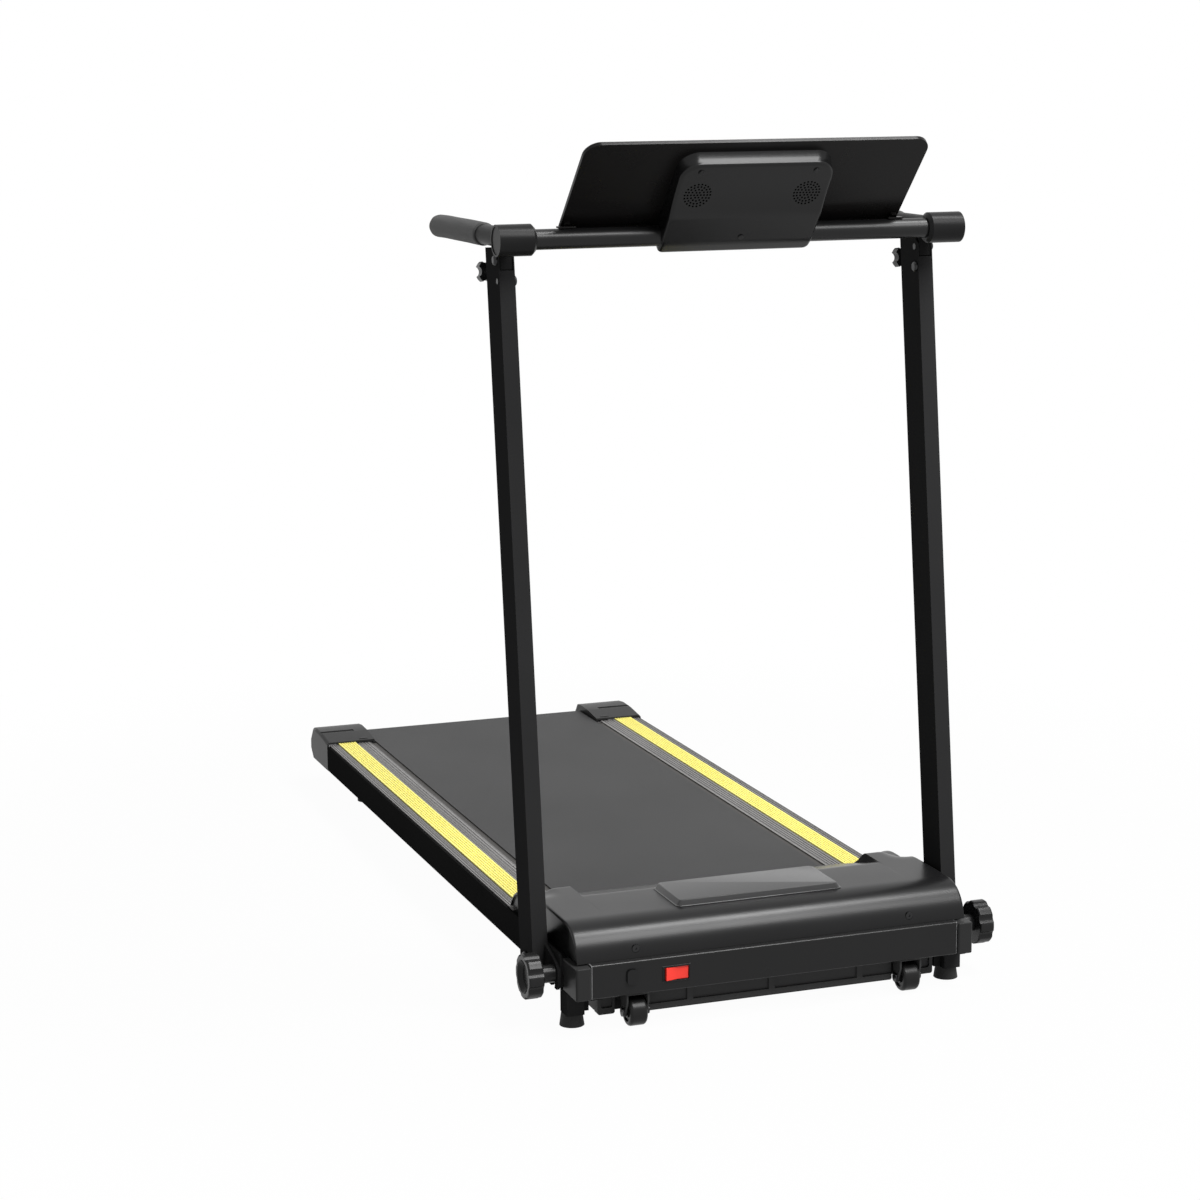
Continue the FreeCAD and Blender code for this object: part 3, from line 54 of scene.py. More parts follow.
# ---- studio: places in metres, angles in degrees ----
CAMERA_PLACE = (-1.3434, -3.7170, 1.1803)
CAMERA_TURN = 19.8777                    # to the right of +Y
CAMERA_DROP = 11.1489                    # below the horizon
CAMERA_ROLL = -0.3503
LENS = 85.204
SENSOR = 36.0
LAMPS = {                                # place, aim, size, watts
    "overhead": ((1.7, -1.2, 4.8), (0, 0, 0.2), (1.2, 1.2), 160),
    "front_right": ((1.3, -3.1, 4.0), (0, 0, 0.3), (2.0, 2.0), 200),
}
AMBIENT = 0.26                           # strength of the world's light on the object
FLOOR_HALF = 12.0
FLOOR_SINK = 0.0005                      # the floor lies this far under the feet
FLOOR_GREY = 0.5
FLOOR_WHITE = 0.97                       # share of plain white at the object; the rest takes its shadow
FLOOR_FADE = (0.75, 1.6)                 # the shadow fades out between these distances


# ---------------------------------------------------------------- camera, light, floor

def point_camera():
    """A long lens a little above the console, seen from the front and from the machine's left."""
    turn = math.radians(CAMERA_TURN)
    drop = math.radians(CAMERA_DROP)
    roll = math.radians(CAMERA_ROLL)
    ahead = Vector((math.sin(turn) * math.cos(drop), math.cos(turn) * math.cos(drop), -math.sin(drop)))
    level = Vector((math.cos(turn), -math.sin(turn), 0))
    above = level.cross(ahead)
    right = level * math.cos(roll) + above * math.sin(roll)
    up = above * math.cos(roll) - level * math.sin(roll)
    data = bpy.data.cameras.new("camera")
    data.lens = LENS
    data.sensor_width = SENSOR
    camera = bpy.data.objects.new("camera", data)
    turned = Matrix((right, up, -ahead)).transposed().to_4x4()
    camera.matrix_world = Matrix.Translation(Vector(CAMERA_PLACE)) @ turned
    bpy.context.scene.collection.objects.link(camera)
    bpy.context.scene.camera = camera


def add_area_light(name, place, aim, size, watts):
    data = bpy.data.lights.new(name, "AREA")
    data.shape = "RECTANGLE"
    data.size = size[0]
    data.size_y = size[1]
    data.energy = watts
    lamp = bpy.data.objects.new(name, data)
    lamp.location = place
    lamp.rotation_euler = (Vector(aim) - Vector(place)).to_track_quat("-Z", "Y").to_euler()
    bpy.context.scene.collection.objects.link(lamp)


def seen_directly(tree):
    """1 for camera, mirror and glass rays, and 0 for the light that falls on the object."""
    path = tree.nodes.new("ShaderNodeLightPath")
    first = tree.nodes.new("ShaderNodeMath")
    first.operation = "ADD"
    tree.links.new(path.outputs["Is Camera Ray"], first.inputs[0])
    tree.links.new(path.outputs["Is Glossy Ray"], first.inputs[1])
    total = tree.nodes.new("ShaderNodeMath")
    total.operation = "ADD"
    total.use_clamp = True
    tree.links.new(first.outputs[0], total.inputs[0])
    tree.links.new(path.outputs["Is Transmission Ray"], total.inputs[1])
    return total.outputs[0]


def make_world():
    """White where it is seen directly or mirrored, and a low even light for the rest."""
    world = bpy.data.worlds.new("studio")
    world.use_nodes = True
    tree = world.node_tree
    background = tree.nodes["Background"]
    background.inputs["Color"].default_value = (1, 1, 1, 1)
    mix = tree.nodes.new("ShaderNodeMix")
    mix.data_type = "FLOAT"
    mix.inputs["A"].default_value = AMBIENT
    mix.inputs["B"].default_value = 1.0
    tree.links.new(seen_directly(tree), mix.inputs["Factor"])
    tree.links.new(mix.outputs[0], background.inputs["Strength"])
    bpy.context.scene.world = world


def make_floor():
    """A white floor that takes the object's shadow, and is plain white further out."""
    mesh = bpy.data.meshes.new("floor")
    corners = [(x * FLOOR_HALF, y * FLOOR_HALF, 0) for x, y in ((-1, -1), (1, -1), (1, 1), (-1, 1))]
    mesh.from_pydata(corners, [], [(0, 1, 2, 3)])
    floor = bpy.data.objects.new("floor", mesh)
    floor.location.z = -FLOOR_SINK
    material = bpy.data.materials.new("floor")
    material.use_nodes = True
    tree = material.node_tree
    shader = tree.nodes["Principled BSDF"]
    shader.inputs["Base Color"].default_value = (FLOOR_GREY, FLOOR_GREY, FLOOR_GREY, 1)
    shader.inputs["Roughness"].default_value = 0.9
    shader.inputs["Specular IOR Level"].default_value = 0.0
    coords = tree.nodes.new("ShaderNodeTexCoord")
    reach = tree.nodes.new("ShaderNodeVectorMath")
    reach.operation = "LENGTH"
    tree.links.new(coords.outputs["Object"], reach.inputs[0])
    fade = tree.nodes.new("ShaderNodeMapRange")
    fade.interpolation_type = "SMOOTHSTEP"
    fade.inputs["From Min"].default_value = FLOOR_FADE[0]
    fade.inputs["From Max"].default_value = FLOOR_FADE[1]
    fade.inputs["To Min"].default_value = FLOOR_WHITE
    fade.inputs["To Max"].default_value = 1.0
    tree.links.new(reach.outputs["Value"], fade.inputs["Value"])
    share = tree.nodes.new("ShaderNodeMath")
    share.operation = "MULTIPLY"
    tree.links.new(seen_directly(tree), share.inputs[0])
    tree.links.new(fade.outputs["Result"], share.inputs[1])
    white = tree.nodes.new("ShaderNodeEmission")
    white.inputs["Strength"].default_value = 1.0
    blend = tree.nodes.new("ShaderNodeMixShader")
    tree.links.new(share.outputs[0], blend.inputs["Fac"])
    tree.links.new(shader.outputs[0], blend.inputs[1])
    tree.links.new(white.outputs[0], blend.inputs[2])
    tree.links.new(blend.outputs[0], tree.nodes["Material Output"].inputs["Surface"])
    mesh.materials.append(material)
    bpy.context.scene.collection.objects.link(floor)


point_camera()
make_world()
make_floor()
for lamp_name, (place, aim, size, watts) in LAMPS.items():
    add_area_light(lamp_name, place, aim, size, watts)
bpy.context.scene.view_settings.view_transform = "Standard"


# ---------------------------------------------------------------- materials

DIAMOND_TURN = 32                        # degrees between the belt's emboss lines and X
DIAMOND_PITCH = 0.0028                   # metres
RIB_PITCH = 0.0013


class Nodes:
    """Short names for building one material's node tree."""

    def __init__(self, name):
        self.material = bpy.data.materials.new(name)
        self.material.use_nodes = True
        self.tree = self.material.node_tree
        self.shader = self.tree.nodes["Principled BSDF"]

    def add(self, kind, **values):
        node = self.tree.nodes.new("ShaderNode" + kind)
        for key, value in values.items():
            setattr(node, key, value)
        return node

    def link(self, source, target):
        self.tree.links.new(source, target)

    def place(self, scale=(1, 1, 1), turn=(0, 0, 0)):
        """Object coordinates, turned and scaled."""
        coords = self.add("TexCoord")
        mapping = self.add("Mapping")
        mapping.inputs["Scale"].default_value = scale
        mapping.inputs["Rotation"].default_value = turn
        self.link(coords.outputs["Object"], mapping.inputs["Vector"])
        return mapping.outputs["Vector"]

    def noise(self, vector, scale, detail=3.0, rough=0.5):
        node = self.add("TexNoise")
        node.inputs["Scale"].default_value = scale
        node.inputs["Detail"].default_value = detail
        node.inputs["Roughness"].default_value = rough
        self.link(vector, node.inputs["Vector"])
        return node.outputs["Fac"]

    def spread(self, value, low, high):
        node = self.add("MapRange")
        node.inputs["To Min"].default_value = low
        node.inputs["To Max"].default_value = high
        self.link(value, node.inputs["Value"])
        return node.outputs["Result"]

    def colours(self, value, dark, light):
        node = self.add("Mix", data_type="RGBA")
        node.inputs["A"].default_value = (*dark, 1)
        node.inputs["B"].default_value = (*light, 1)
        self.link(value, node.inputs["Factor"])
        return node.outputs["Result"]

    def math(self, operation, a, b=None):
        node = self.add("Math", operation=operation)
        for socket, value in zip(node.inputs, (a, b)):
            if isinstance(value, (int, float)):
                socket.default_value = value
            elif value is not None:
                self.link(value, socket)
        return node.outputs[0]

    def bump(self, height, distance, strength=1.0):
        node = self.add("Bump")
        node.inputs["Distance"].default_value = distance
        node.inputs["Strength"].default_value = strength
        self.link(height, node.inputs["Height"])
        self.link(node.outputs["Normal"], self.shader.inputs["Normal"])


def grained(name, colour, roughness, grain=2600.0, depth=0.00006, tone=0.25, specular=0.5):
    """Moulded plastic or powder coat: fine grain, and faint larger changes of tone and gloss.

    grain is the noise scale per metre, depth the grain's depth in metres, and tone the share by
    which the colour varies.
    """
    n = Nodes(name)
    place = n.place()
    fine = n.noise(place, grain, 2.0, 0.6)
    broad = n.noise(place, 9.0, 4.0, 0.6)
    dark = tuple(c * (1 - tone) for c in colour)
    light = tuple(min(1.0, c * (1 + tone)) for c in colour)
    mottle = n.math("ADD", n.math("MULTIPLY", fine, 0.5), n.math("MULTIPLY", broad, 0.5))
    n.link(n.colours(mottle, dark, light), n.shader.inputs["Base Color"])
    n.link(n.spread(broad, roughness - 0.04, roughness + 0.05), n.shader.inputs["Roughness"])
    n.shader.inputs["Specular IOR Level"].default_value = specular
    n.bump(fine, depth)
    return n.material


def brushed(name, colour, roughness):
    """Plated or turned steel with fine lines."""
    n = Nodes(name)
    lines = n.noise(n.place((1, 40, 40)), 240.0, 3.0, 0.6)
    broad = n.noise(n.place(), 25.0)
    n.link(n.colours(broad, tuple(c * 0.82 for c in colour), colour), n.shader.inputs["Base Color"])
    n.link(n.spread(lines, roughness - 0.08, roughness + 0.1), n.shader.inputs["Roughness"])
    n.shader.inputs["Metallic"].default_value = 1.0
    n.bump(lines, 0.00003)
    return n.material


def belt_surface():
    """Dark belt with a fine diamond emboss."""
    n = Nodes("belt_diamond")
    lines = []
    for turn in (math.radians(DIAMOND_TURN), math.radians(-DIAMOND_TURN)):
        coords = n.place((1, 1, 1), (0, 0, turn))
        split = n.add("SeparateXYZ")
        n.link(coords, split.inputs[0])
        wave = n.math("SINE", n.math("MULTIPLY", split.outputs["Y"], 2 * math.pi / DIAMOND_PITCH))
        lines.append(n.spread(wave, 0.25, 0.75))
    weave = n.math("MULTIPLY", lines[0], lines[1])
    broad = n.noise(n.place(), 6.0, 5.0)
    fine = n.noise(n.place(), 1800.0, 2.0)
    tone = n.math("ADD", n.math("MULTIPLY", weave, 0.9), n.math("MULTIPLY", broad, 0.2))
    n.link(n.colours(tone, (0.004, 0.004, 0.0042), (0.085, 0.085, 0.086)),
           n.shader.inputs["Base Color"])
    n.link(n.spread(fine, 0.5, 0.62), n.shader.inputs["Roughness"])
    n.shader.inputs["Specular IOR Level"].default_value = 0.25
    n.bump(n.math("ADD", weave, n.math("MULTIPLY", fine, 0.3)), 0.0003)
    return n.material


def ribbed(name, dark, light, roughness, groove_shade_pitch=0.0):
    """Extruded strip: fine lines that run along Y, and, at the pitch given in metres, dark stripes of
    painted shade where grooves would be.
    """
    n = Nodes(name)
    split = n.add("SeparateXYZ")
    n.link(n.place(), split.inputs[0])
    wave = n.math("SINE", n.math("MULTIPLY", split.outputs["X"], 2 * math.pi / RIB_PITCH))
    fine = n.noise(n.place((1, 0.05, 1)), 1400.0, 2.0)
    broad = n.noise(n.place(), 8.0, 4.0)
    ridge = n.spread(wave, 0.35, 0.75)
    tone = n.math("ADD", n.math("MULTIPLY", ridge, 0.6), n.math("MULTIPLY", broad, 0.4))
    # painted shade: the colour darkens in stripes where grooves would be shaded
    if groove_shade_pitch:
        swing = n.math("SINE", n.math("MULTIPLY", split.outputs["X"], 2 * math.pi / groove_shade_pitch))
        groove_shade = n.math("GREATER_THAN", swing, 0.55)
        tone = n.math("MULTIPLY", tone, n.math("SUBTRACT", 1.0, n.math("MULTIPLY", groove_shade, 0.8)))
    n.link(n.colours(tone, dark, light), n.shader.inputs["Base Color"])
    n.link(n.spread(fine, roughness - 0.06, roughness + 0.06), n.shader.inputs["Roughness"])
    n.bump(n.math("ADD", wave, n.math("MULTIPLY", fine, 0.4)), 0.00003)
    return n.material


def foam(name):
    n = Nodes(name)
    cells = n.add("TexVoronoi")
    cells.inputs["Scale"].default_value = 900.0
    n.link(n.place(), cells.inputs["Vector"])
    broad = n.noise(n.place(), 30.0, 4.0)
    n.link(n.colours(broad, (0.018, 0.018, 0.018), (0.036, 0.036, 0.036)),
           n.shader.inputs["Base Color"])
    n.link(n.spread(cells.outputs["Distance"], 0.72, 0.6), n.shader.inputs["Roughness"])
    n.bump(cells.outputs["Distance"], 0.00025)
    return n.material


def wooden(name):
    n = Nodes(name)
    grain = n.noise(n.place((30, 1.5, 60)), 12.0, 6.0, 0.65)
    n.link(n.colours(grain, (0.008, 0.007, 0.006), (0.024, 0.02, 0.017)), n.shader.inputs["Base Color"])
    n.shader.inputs["Roughness"].default_value = 0.55
    n.bump(grain, 0.0001)
    return n.material


# grained: name, base colour, roughness, grain, depth, tone, specular
COAT = grained("powder_coat", (0.026, 0.026, 0.0265), 0.5, 1500.0, 0.000012, 0.2, 0.0)
BAR_COAT = grained("bar_coat", (0.009, 0.009, 0.0092), 0.33, 1500.0, 0.000003, 0.2, 0.25)
BEAM_COAT = grained("beam_coat", (0.010, 0.010, 0.0102), 0.28, 1500.0, 0.000006, 0.2, 0.2)
ARM_COAT = grained("arm_coat", (0.014, 0.014, 0.0142), 0.34, 1500.0, 0.000006, 0.2, 0.03)
# painted highlight: a light, glossy coat for the rounded edges, standing in for edge glints
EDGE_HIGHLIGHT_COAT = grained("coat_edge_highlight", (0.22, 0.22, 0.222), 0.3, 1500.0, 0.000006, 0.2, 0.5)
RAIL_COAT = grained("rail_coat", (0.016, 0.016, 0.016), 0.5, 1500.0, 0.000012, 0.2, 0.0)
PLASTIC = grained("black_plastic", (0.0065, 0.0065, 0.0068), 0.29, 2600.0, 0.000005, 0.25, 0.22)
HOUSING = grained("housing_plastic", (0.0055, 0.0055, 0.0057), 0.22, 2600.0, 0.000003, 0.25, 0.24)
SHROUD = grained("shroud_plastic", (0.050, 0.050, 0.0502), 0.4, 2000.0, 0.000012, 0.25, 0.06)
CAP = grained("cap_plastic", (0.029, 0.029, 0.0292), 0.3, 2200.0, 0.000008, 0.2, 0.05)
PANEL = grained("panel_plastic", (0.006, 0.0055, 0.0054), 0.26, 3200.0, 0.000004, 0.2, 0.1)
PLATE = grained("plate_plastic", (0.040, 0.040, 0.0405), 0.22, 3000.0, 0.000004, 0.2, 0.28)
RUBBER = grained("black_rubber", (0.018, 0.018, 0.018), 0.72, 900.0, 0.00004, 0.25, 0.3)
WHEEL = grained("wheel_plastic", (0.010, 0.010, 0.010), 0.3, 2000.0, 0.000005, 0.2, 0.17)
KNOB = grained("knob_plastic", (0.013, 0.013, 0.0132), 0.26, 2600.0, 0.000004, 0.2, 0.16)
SLEEVE = grained("sleeve_plastic", (0.011, 0.011, 0.0112), 0.33, 2600.0, 0.000008, 0.2, 0.09)
RED = grained("red_plastic", (0.95, 0.045, 0.03), 0.32, 2600.0, 0.000006, 0.05, 0.3)
# the rail's dark stripes are painted groove shade
RAIL = ribbed("rail_grey", (0.03, 0.029, 0.028), (0.345, 0.335, 0.33), 0.45, 0.0052)
YELLOW = ribbed("yellow_strip", (0.90, 0.80, 0.14), (0.98, 0.92, 0.30), 0.5)
BELT = belt_surface()
FOAM = foam("grip_foam")
# painted shade: near-black spots stand in for the dark insides of the speaker holes
HOLE_SHADE = grained("hole_painted_shade", (0.0012, 0.0012, 0.0012), 0.9, 900.0, 0.00001, 0.3, 0.0)
ZINC = brushed("zinc_steel", (0.55, 0.55, 0.56), 0.32)
BLACK_STEEL = brushed("black_steel", (0.04, 0.04, 0.041), 0.34)
TURNED = brushed("roller_steel", (0.5, 0.5, 0.51), 0.28)
WOOD = wooden("deck_wood")
SCREEN = grained("screen", (0.006, 0.006, 0.008), 0.1, 3000.0, 0.000002, 0.1)
BOARD = grained("circuit_board", (0.01, 0.09, 0.04), 0.4, 900.0, 0.00004)


# ---------------------------------------------------------------- CAD nodes: finish and soft edges

# node: its material, and the width of its rounded edges in mm
FINISH = {
    "front_beam": (BEAM_COAT, 1.0), "beam_end_caps": (CAP, 1.0), "side_rail_left": (RAIL_COAT, 0.8),
    "side_rail_right": (RAIL_COAT, 0.8), "deck_crossmembers": (COAT, 0.6), "front_legs": (COAT, 0.8),
    "rubber_feet": (RUBBER, 0.8), "pivot_plates": (COAT, 0.6), "wheel_brackets": (SHROUD, 0.8),
    "pivot_bolts": (BLACK_STEEL, 0.3), "wheel_left": (WHEEL, 0.0), "wheel_right": (WHEEL, 0.0),
    "front_roller": (TURNED, 0.0), "rear_roller": (TURNED, 0.0), "roller_pulley": (TURNED, 0.3),
    "roller_axles": (ZINC, 0.0), "roller_bearings": (ZINC, 0.0), "tension_bolts": (ZINC, 0.3),
    "walking_belt": (BELT, 0.0), "deck_board": (WOOD, 0.0), "deck_cushions": (RUBBER, 0.4),
    "foot_rail_left": (RAIL, 0.25), "foot_rail_right": (RAIL, 0.25), "grip_strips": (YELLOW, 0.3),
    "rear_cap_left": (CAP, 1.5), "rear_cap_right": (CAP, 1.5), "motor_body": (COAT, 1.0),
    "motor_rotor": (TURNED, 0.3), "motor_mount": (COAT, 0.5), "drive_belt": (RUBBER, 0.0),
    "controller_box": (BLACK_STEEL, 0.5), "cord_gland": (PLASTIC, 0.5),
    "cover_screws": (BLACK_STEEL, 0.3), "belly_shroud": (SHROUD, 0.8), "switch_body": (PLASTIC, 0.3),
    "power_rocker": (RED, 0.4), "breaker_body": (PLASTIC, 0.5), "breaker_button": (PLASTIC, 0.8),
    "upright_left": (COAT, 1.2), "upright_right": (COAT, 1.2), "handle_bolts": (BLACK_STEEL, 0.3),
    "lock_knob_left": (KNOB, 0.9), "lock_knob_right": (KNOB, 0.9), "star_knob_left": (KNOB, 0.6),
    "star_knob_right": (KNOB, 0.6), "crossbar": (BAR_COAT, 0.3), "tee_sleeves": (SLEEVE, 0.8),
    "handle_arms": (ARM_COAT, 0.4), "console_panel": (PANEL, 0.8), "display_window": (SCREEN, 0.2),
    "membrane_keypad": (PANEL, 0.2), "console_board": (BOARD, 0.2),
    "console_speakers": (BLACK_STEEL, 0.5), "console_screws": (BLACK_STEEL, 0.3),
    "safety_key": (RED, 1.0),
}


WELD = 0.00002                           # metres
BEVEL_ANGLE = 40                         # degrees; sharper edges than this are rounded
CREASE_ANGLE = 38                        # degrees; sharper edges than this stay sharp in the shading


def soften(obj, width):
    """Welds the CAD mesh, rounds its sharp edges a little and shades the curves smooth."""
    mesh = obj.data
    if "custom_normal" in mesh.attributes:
        mesh.attributes.remove(mesh.attributes["custom_normal"])
    mesh.polygons.foreach_set("use_smooth", [True] * len(mesh.polygons))
    weld = obj.modifiers.new("weld", "WELD")
    weld.merge_threshold = WELD
    if width > 0:
        bevel = obj.modifiers.new("bevel", "BEVEL")
        bevel.width = width * MM
        bevel.segments = 2
        bevel.limit_method = "ANGLE"
        bevel.angle_limit = math.radians(BEVEL_ANGLE)
        bevel.harden_normals = False
    split = obj.modifiers.new("split", "EDGE_SPLIT")
    split.split_angle = math.radians(CREASE_ANGLE)
    split.use_edge_sharp = False
    weighted = obj.modifiers.new("weighted", "WEIGHTED_NORMAL")
    weighted.weight = 80


for node_name, (material, width) in FINISH.items():
    cad = nodes[node_name]
    cad.data.materials.clear()
    cad.data.materials.append(material)
    soften(cad, width)
for node_name in ("upright_left", "upright_right", "front_beam", "beam_end_caps"):   # painted highlight: the rounded edges get a lighter, glossier coat
    nodes[node_name].data.materials.append(EDGE_HIGHLIGHT_COAT)
    nodes[node_name].modifiers["bevel"].material = 1

# ---------------------------------------------------------------- pieces modelled here

SAME_PLACE = 0.00001                     # metres; closer points of a new mesh are joined


def make_piece(name, bm, material, body, node):
    """Turns a bmesh into an object that stands for a CAD node and rides on its body."""
    bmesh.ops.recalc_face_normals(bm, faces=bm.faces)
    mesh = bpy.data.meshes.new(name)
    bm.to_mesh(mesh)
    bm.free()
    mesh.polygons.foreach_set("use_smooth", [True] * len(mesh.polygons))
    mesh.materials.append(material)
    piece = bpy.data.objects.new(name, mesh)
    bpy.context.scene.collection.objects.link(piece)
    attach(piece, body)
    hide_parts(node)
    return piece


def split_edges(piece, degrees):
    """Keeps edges sharper than the angle crisp in the smooth shading."""
    split = piece.modifiers.new("split", "EDGE_SPLIT")
    split.split_angle = math.radians(degrees)


def grid_faces(bm, rows):
    """Quads between rows of vertices that all have the same count."""
    for low, high in zip(rows, rows[1:]):
        for i in range(len(low) - 1):
            bm.faces.new((low[i], low[i + 1], high[i + 1], high[i]))


def spaced(start, end, count):
    return [start + (end - start) * i / count for i in range(count + 1)]


def along(points, at):
    """Height of a smooth line through points, at a place along it."""
    if at <= points[0][0]:
        return points[0][1]
    for i in range(len(points) - 1):
        (x0, z0), (x1, z1) = points[i], points[i + 1]
        if at > x1:
            continue
        before = points[max(i - 1, 0)]
        after = points[min(i + 2, len(points) - 1)]
        m0 = (z1 - before[1]) / (x1 - before[0]) * (x1 - x0)
        m1 = (after[1] - z0) / (after[0] - x0) * (x1 - x0)
        t = (at - x0) / (x1 - x0)
        return ((2 * t ** 3 - 3 * t ** 2 + 1) * z0 + (t ** 3 - 2 * t ** 2 + t) * m0
                + (3 * t ** 2 - 2 * t ** 3) * z1 + (t ** 3 - t ** 2) * m1)
    return points[-1][1]


def ease(t):
    """A smooth step from 0 to 1."""
    t = min(1.0, max(0.0, t))
    return t * t * (3 - 2 * t)


def cut(piece, holes):
    """Cuts round holes: each is a start in metres, a direction, and a radius and a depth in mm."""
    bm = bmesh.new()
    for start, way, radius, depth in holes:
        turn = Vector((0, 0, 1)).rotation_difference(way).to_matrix().to_4x4()
        middle = Matrix.Translation(start + way * depth * MM / 2) @ turn
        bmesh.ops.create_cone(bm, cap_ends=True, segments=32, radius1=radius * MM,
                              radius2=radius * MM, depth=depth * MM, matrix=middle)
    mesh = bpy.data.meshes.new("cutter")
    bm.to_mesh(mesh)
    bm.free()
    cutter = bpy.data.objects.new("cutter", mesh)
    bpy.context.scene.collection.objects.link(cutter)
    boolean = piece.modifiers.new("holes", "BOOLEAN")
    boolean.operation = "DIFFERENCE"
    boolean.solver = "EXACT"
    boolean.object = cutter
    bpy.context.view_layer.objects.active = piece
    with bpy.context.temp_override(object=piece, active_object=piece):
        bpy.ops.object.modifier_apply(modifier="holes")
    bpy.data.objects.remove(cutter)


# ---- motor cover: one moulding with a hood over each foot rail ----
# Profile points are (y, z) in mm, with y from the beam's front face.
COVER_TOP = COVER_HIGH.z / MM
COVER_BASE = 87.6
COVER_END = COVER_HIGH.x / MM
COVER_REAR = 262.0
HOOD_REAR = 266.0
HOOD_IN = 205.0                          # the hoods start this far from the middle
NOSE_END = 60.0
SKIRT = (47.5, 250.0)                    # the side walls reach lower between these
SCREW_X = 183.5                          # middles of the two screw recesses in the nose
SCREW_Z = 99.0
NOSE = ((10.0, COVER_BASE), (13.5, 112.0), (28.0, COVER_TOP), (NOSE_END, COVER_TOP))
MIDDLE_LINE = ((NOSE_END, COVER_TOP), (140.0, COVER_TOP), (149.0, COVER_TOP - 1.1), (206.0, 112.4),
               (COVER_REAR, 96.0))
HOOD_INNER = ((NOSE_END, COVER_TOP), (184.0, COVER_TOP), (191.0, 129.2), (199.0, 124.5),
              (212.0, 114.5), (235.0, 102.0), (HOOD_REAR, 92.0))
HOOD_OUTER = ((NOSE_END, COVER_TOP), (140.0, COVER_TOP), (157.0, 128.9), (175.0, 123.2),
              (190.0, 119.0), (204.0, 119.0), (222.0, 118.4), (238.0, 114.6), (250.0, 109.0),
              (260.0, 100.5), (HOOD_REAR, 92.0))


def nose_point(t):
    """A point of the Bezier curve from the cover's front edge to its flat top."""
    ways = ((1 - t) ** 3, 3 * t * (1 - t) ** 2, 3 * t * t * (1 - t), t ** 3)
    return [sum(w * p[i] for w, p in zip(ways, NOSE)) for i in range(2)]


def cover_height(x, y):
    """Height behind the nose; a hood passes smoothly from its inner line to its outer line."""
    if x <= HOOD_IN:
        return along(MIDDLE_LINE, y)
    share = ease((x - HOOD_IN - 20) / (COVER_END - HOOD_IN - 22))
    return (1 - share) * along(HOOD_INNER, y) + share * along(HOOD_OUTER, y)


def cover_column(x, drop, base):
    """Front to back line of the cover at one X, sunk by drop, as (y, z) pairs."""
    rear = COVER_REAR if x <= HOOD_IN else HOOD_REAR
    line = [nose_point(t) for t in spaced(0, 1, 22)]
    line += [[y, cover_height(x, y)] for y in spaced(NOSE_END, rear, 66)[1:]]
    sunk = [[y, max(base, z - drop)] for y, z in line]
    return sunk + [[rear, base + 0.4]]


def make_cover():
    """Both halves from columns of points, closer at the step to the hood and at the round side edge."""
    bm = bmesh.new()
    half = spaced(0, 200.0, 20) + [203.0, HOOD_IN - 0.4, HOOD_IN + 0.4, 207.0]
    half += spaced(212.0, 252.0, 10) + [255.0, 257.0, 258.4]
    columns = [(x, 0.0) for x in half]
    columns += [(259.3, 0.35), (259.85, 0.9), (COVER_END, 1.8), (COVER_END, 3.6), (258.0, 3.8)]
    columns += [(257.6, 4.4)]
    for side in (-1, 1):
        rows = []
        for x, drop in columns:
            line = cover_column(x, drop, COVER_BASE)
            rows.append([bm.verts.new((side * x * MM, FRONT + y * MM, z * MM)) for y, z in line])
        bottom = []
        for v in rows[-1]:
            y = (v.co.y - FRONT) / MM
            low = COVER_LOW.z if SKIRT[0] <= y <= SKIRT[1] else COVER_BASE * MM
            bottom.append(bm.verts.new((v.co.x, v.co.y, low)))
        rows.append(bottom)
        grid_faces(bm, rows)
    bmesh.ops.remove_doubles(bm, verts=bm.verts, dist=SAME_PLACE)
    piece = make_piece("cover_shell", bm, PLASTIC, "base", "motor_cover")
    bored = [Vector((x * MM, FRONT + 8 * MM, SCREW_Z * MM)) for x in (-SCREW_X, SCREW_X)]
    cut(piece, [(spot, Vector((0, 1, 0)), 5.0, 6.6) for spot in bored])
    split_edges(piece, 34)


# ---- blank name plate ----
PLATE_CORNER = 6.0
PLATE_LEVELS = ((0.0, 0.0), (0.0, 0.7), (0.5, 1.1), (1.5, 1.2), (3.6, 6.6), (4.0, 7.2), (4.7, 7.5))
PLATE_SHRINK = (1.4, 0.6)                # how much of a level's inset applies along X and along Y


def rounded_rectangle(half_x, half_y, radius, steps=6):
    """Corner arcs of an outline, anticlockwise, as (x, y) points."""
    points = []
    for turn, (sx, sy) in enumerate(((1, 1), (-1, 1), (-1, -1), (1, -1))):
        for i in range(steps + 1):
            angle = math.pi / 2 * (turn + i / steps)
            points.append((sx * (half_x - radius) + radius * math.cos(angle),
                           sy * (half_y - radius) + radius * math.sin(angle)))
    return points


def make_plate():
    """A lip, a raised rim and a flat top, as rings of (inset, rise) in mm."""
    middle_y = (PLATE_LOW.y + PLATE_HIGH.y) / 2
    half_x = PLATE_HIGH.x
    half_y = (PLATE_HIGH.y - PLATE_LOW.y) / 2
    base, top = PLATE_LOW.z, PLATE_HIGH.z
    bm = bmesh.new()
    rings = []
    for inset, rise in PLATE_LEVELS:
        z = min(top, base + rise * MM)
        inset_x = inset * MM * PLATE_SHRINK[0]
        inset_y = inset * MM * PLATE_SHRINK[1]
        outline = rounded_rectangle(half_x - inset_x, half_y - inset_y, PLATE_CORNER * MM)
        rings.append([bm.verts.new((x, middle_y + y, z)) for x, y in outline])
    for low, high in zip(rings, rings[1:]):
        for i in range(len(low)):
            j = (i + 1) % len(low)
            bm.faces.new((low[i], low[j], high[j], high[i]))
    bm.faces.new(rings[-1])
    bm.faces.new(reversed(rings[0]))
    piece = make_piece("blank_plate", bm, PLATE, "base", "name_plate")
    split_edges(piece, 26)


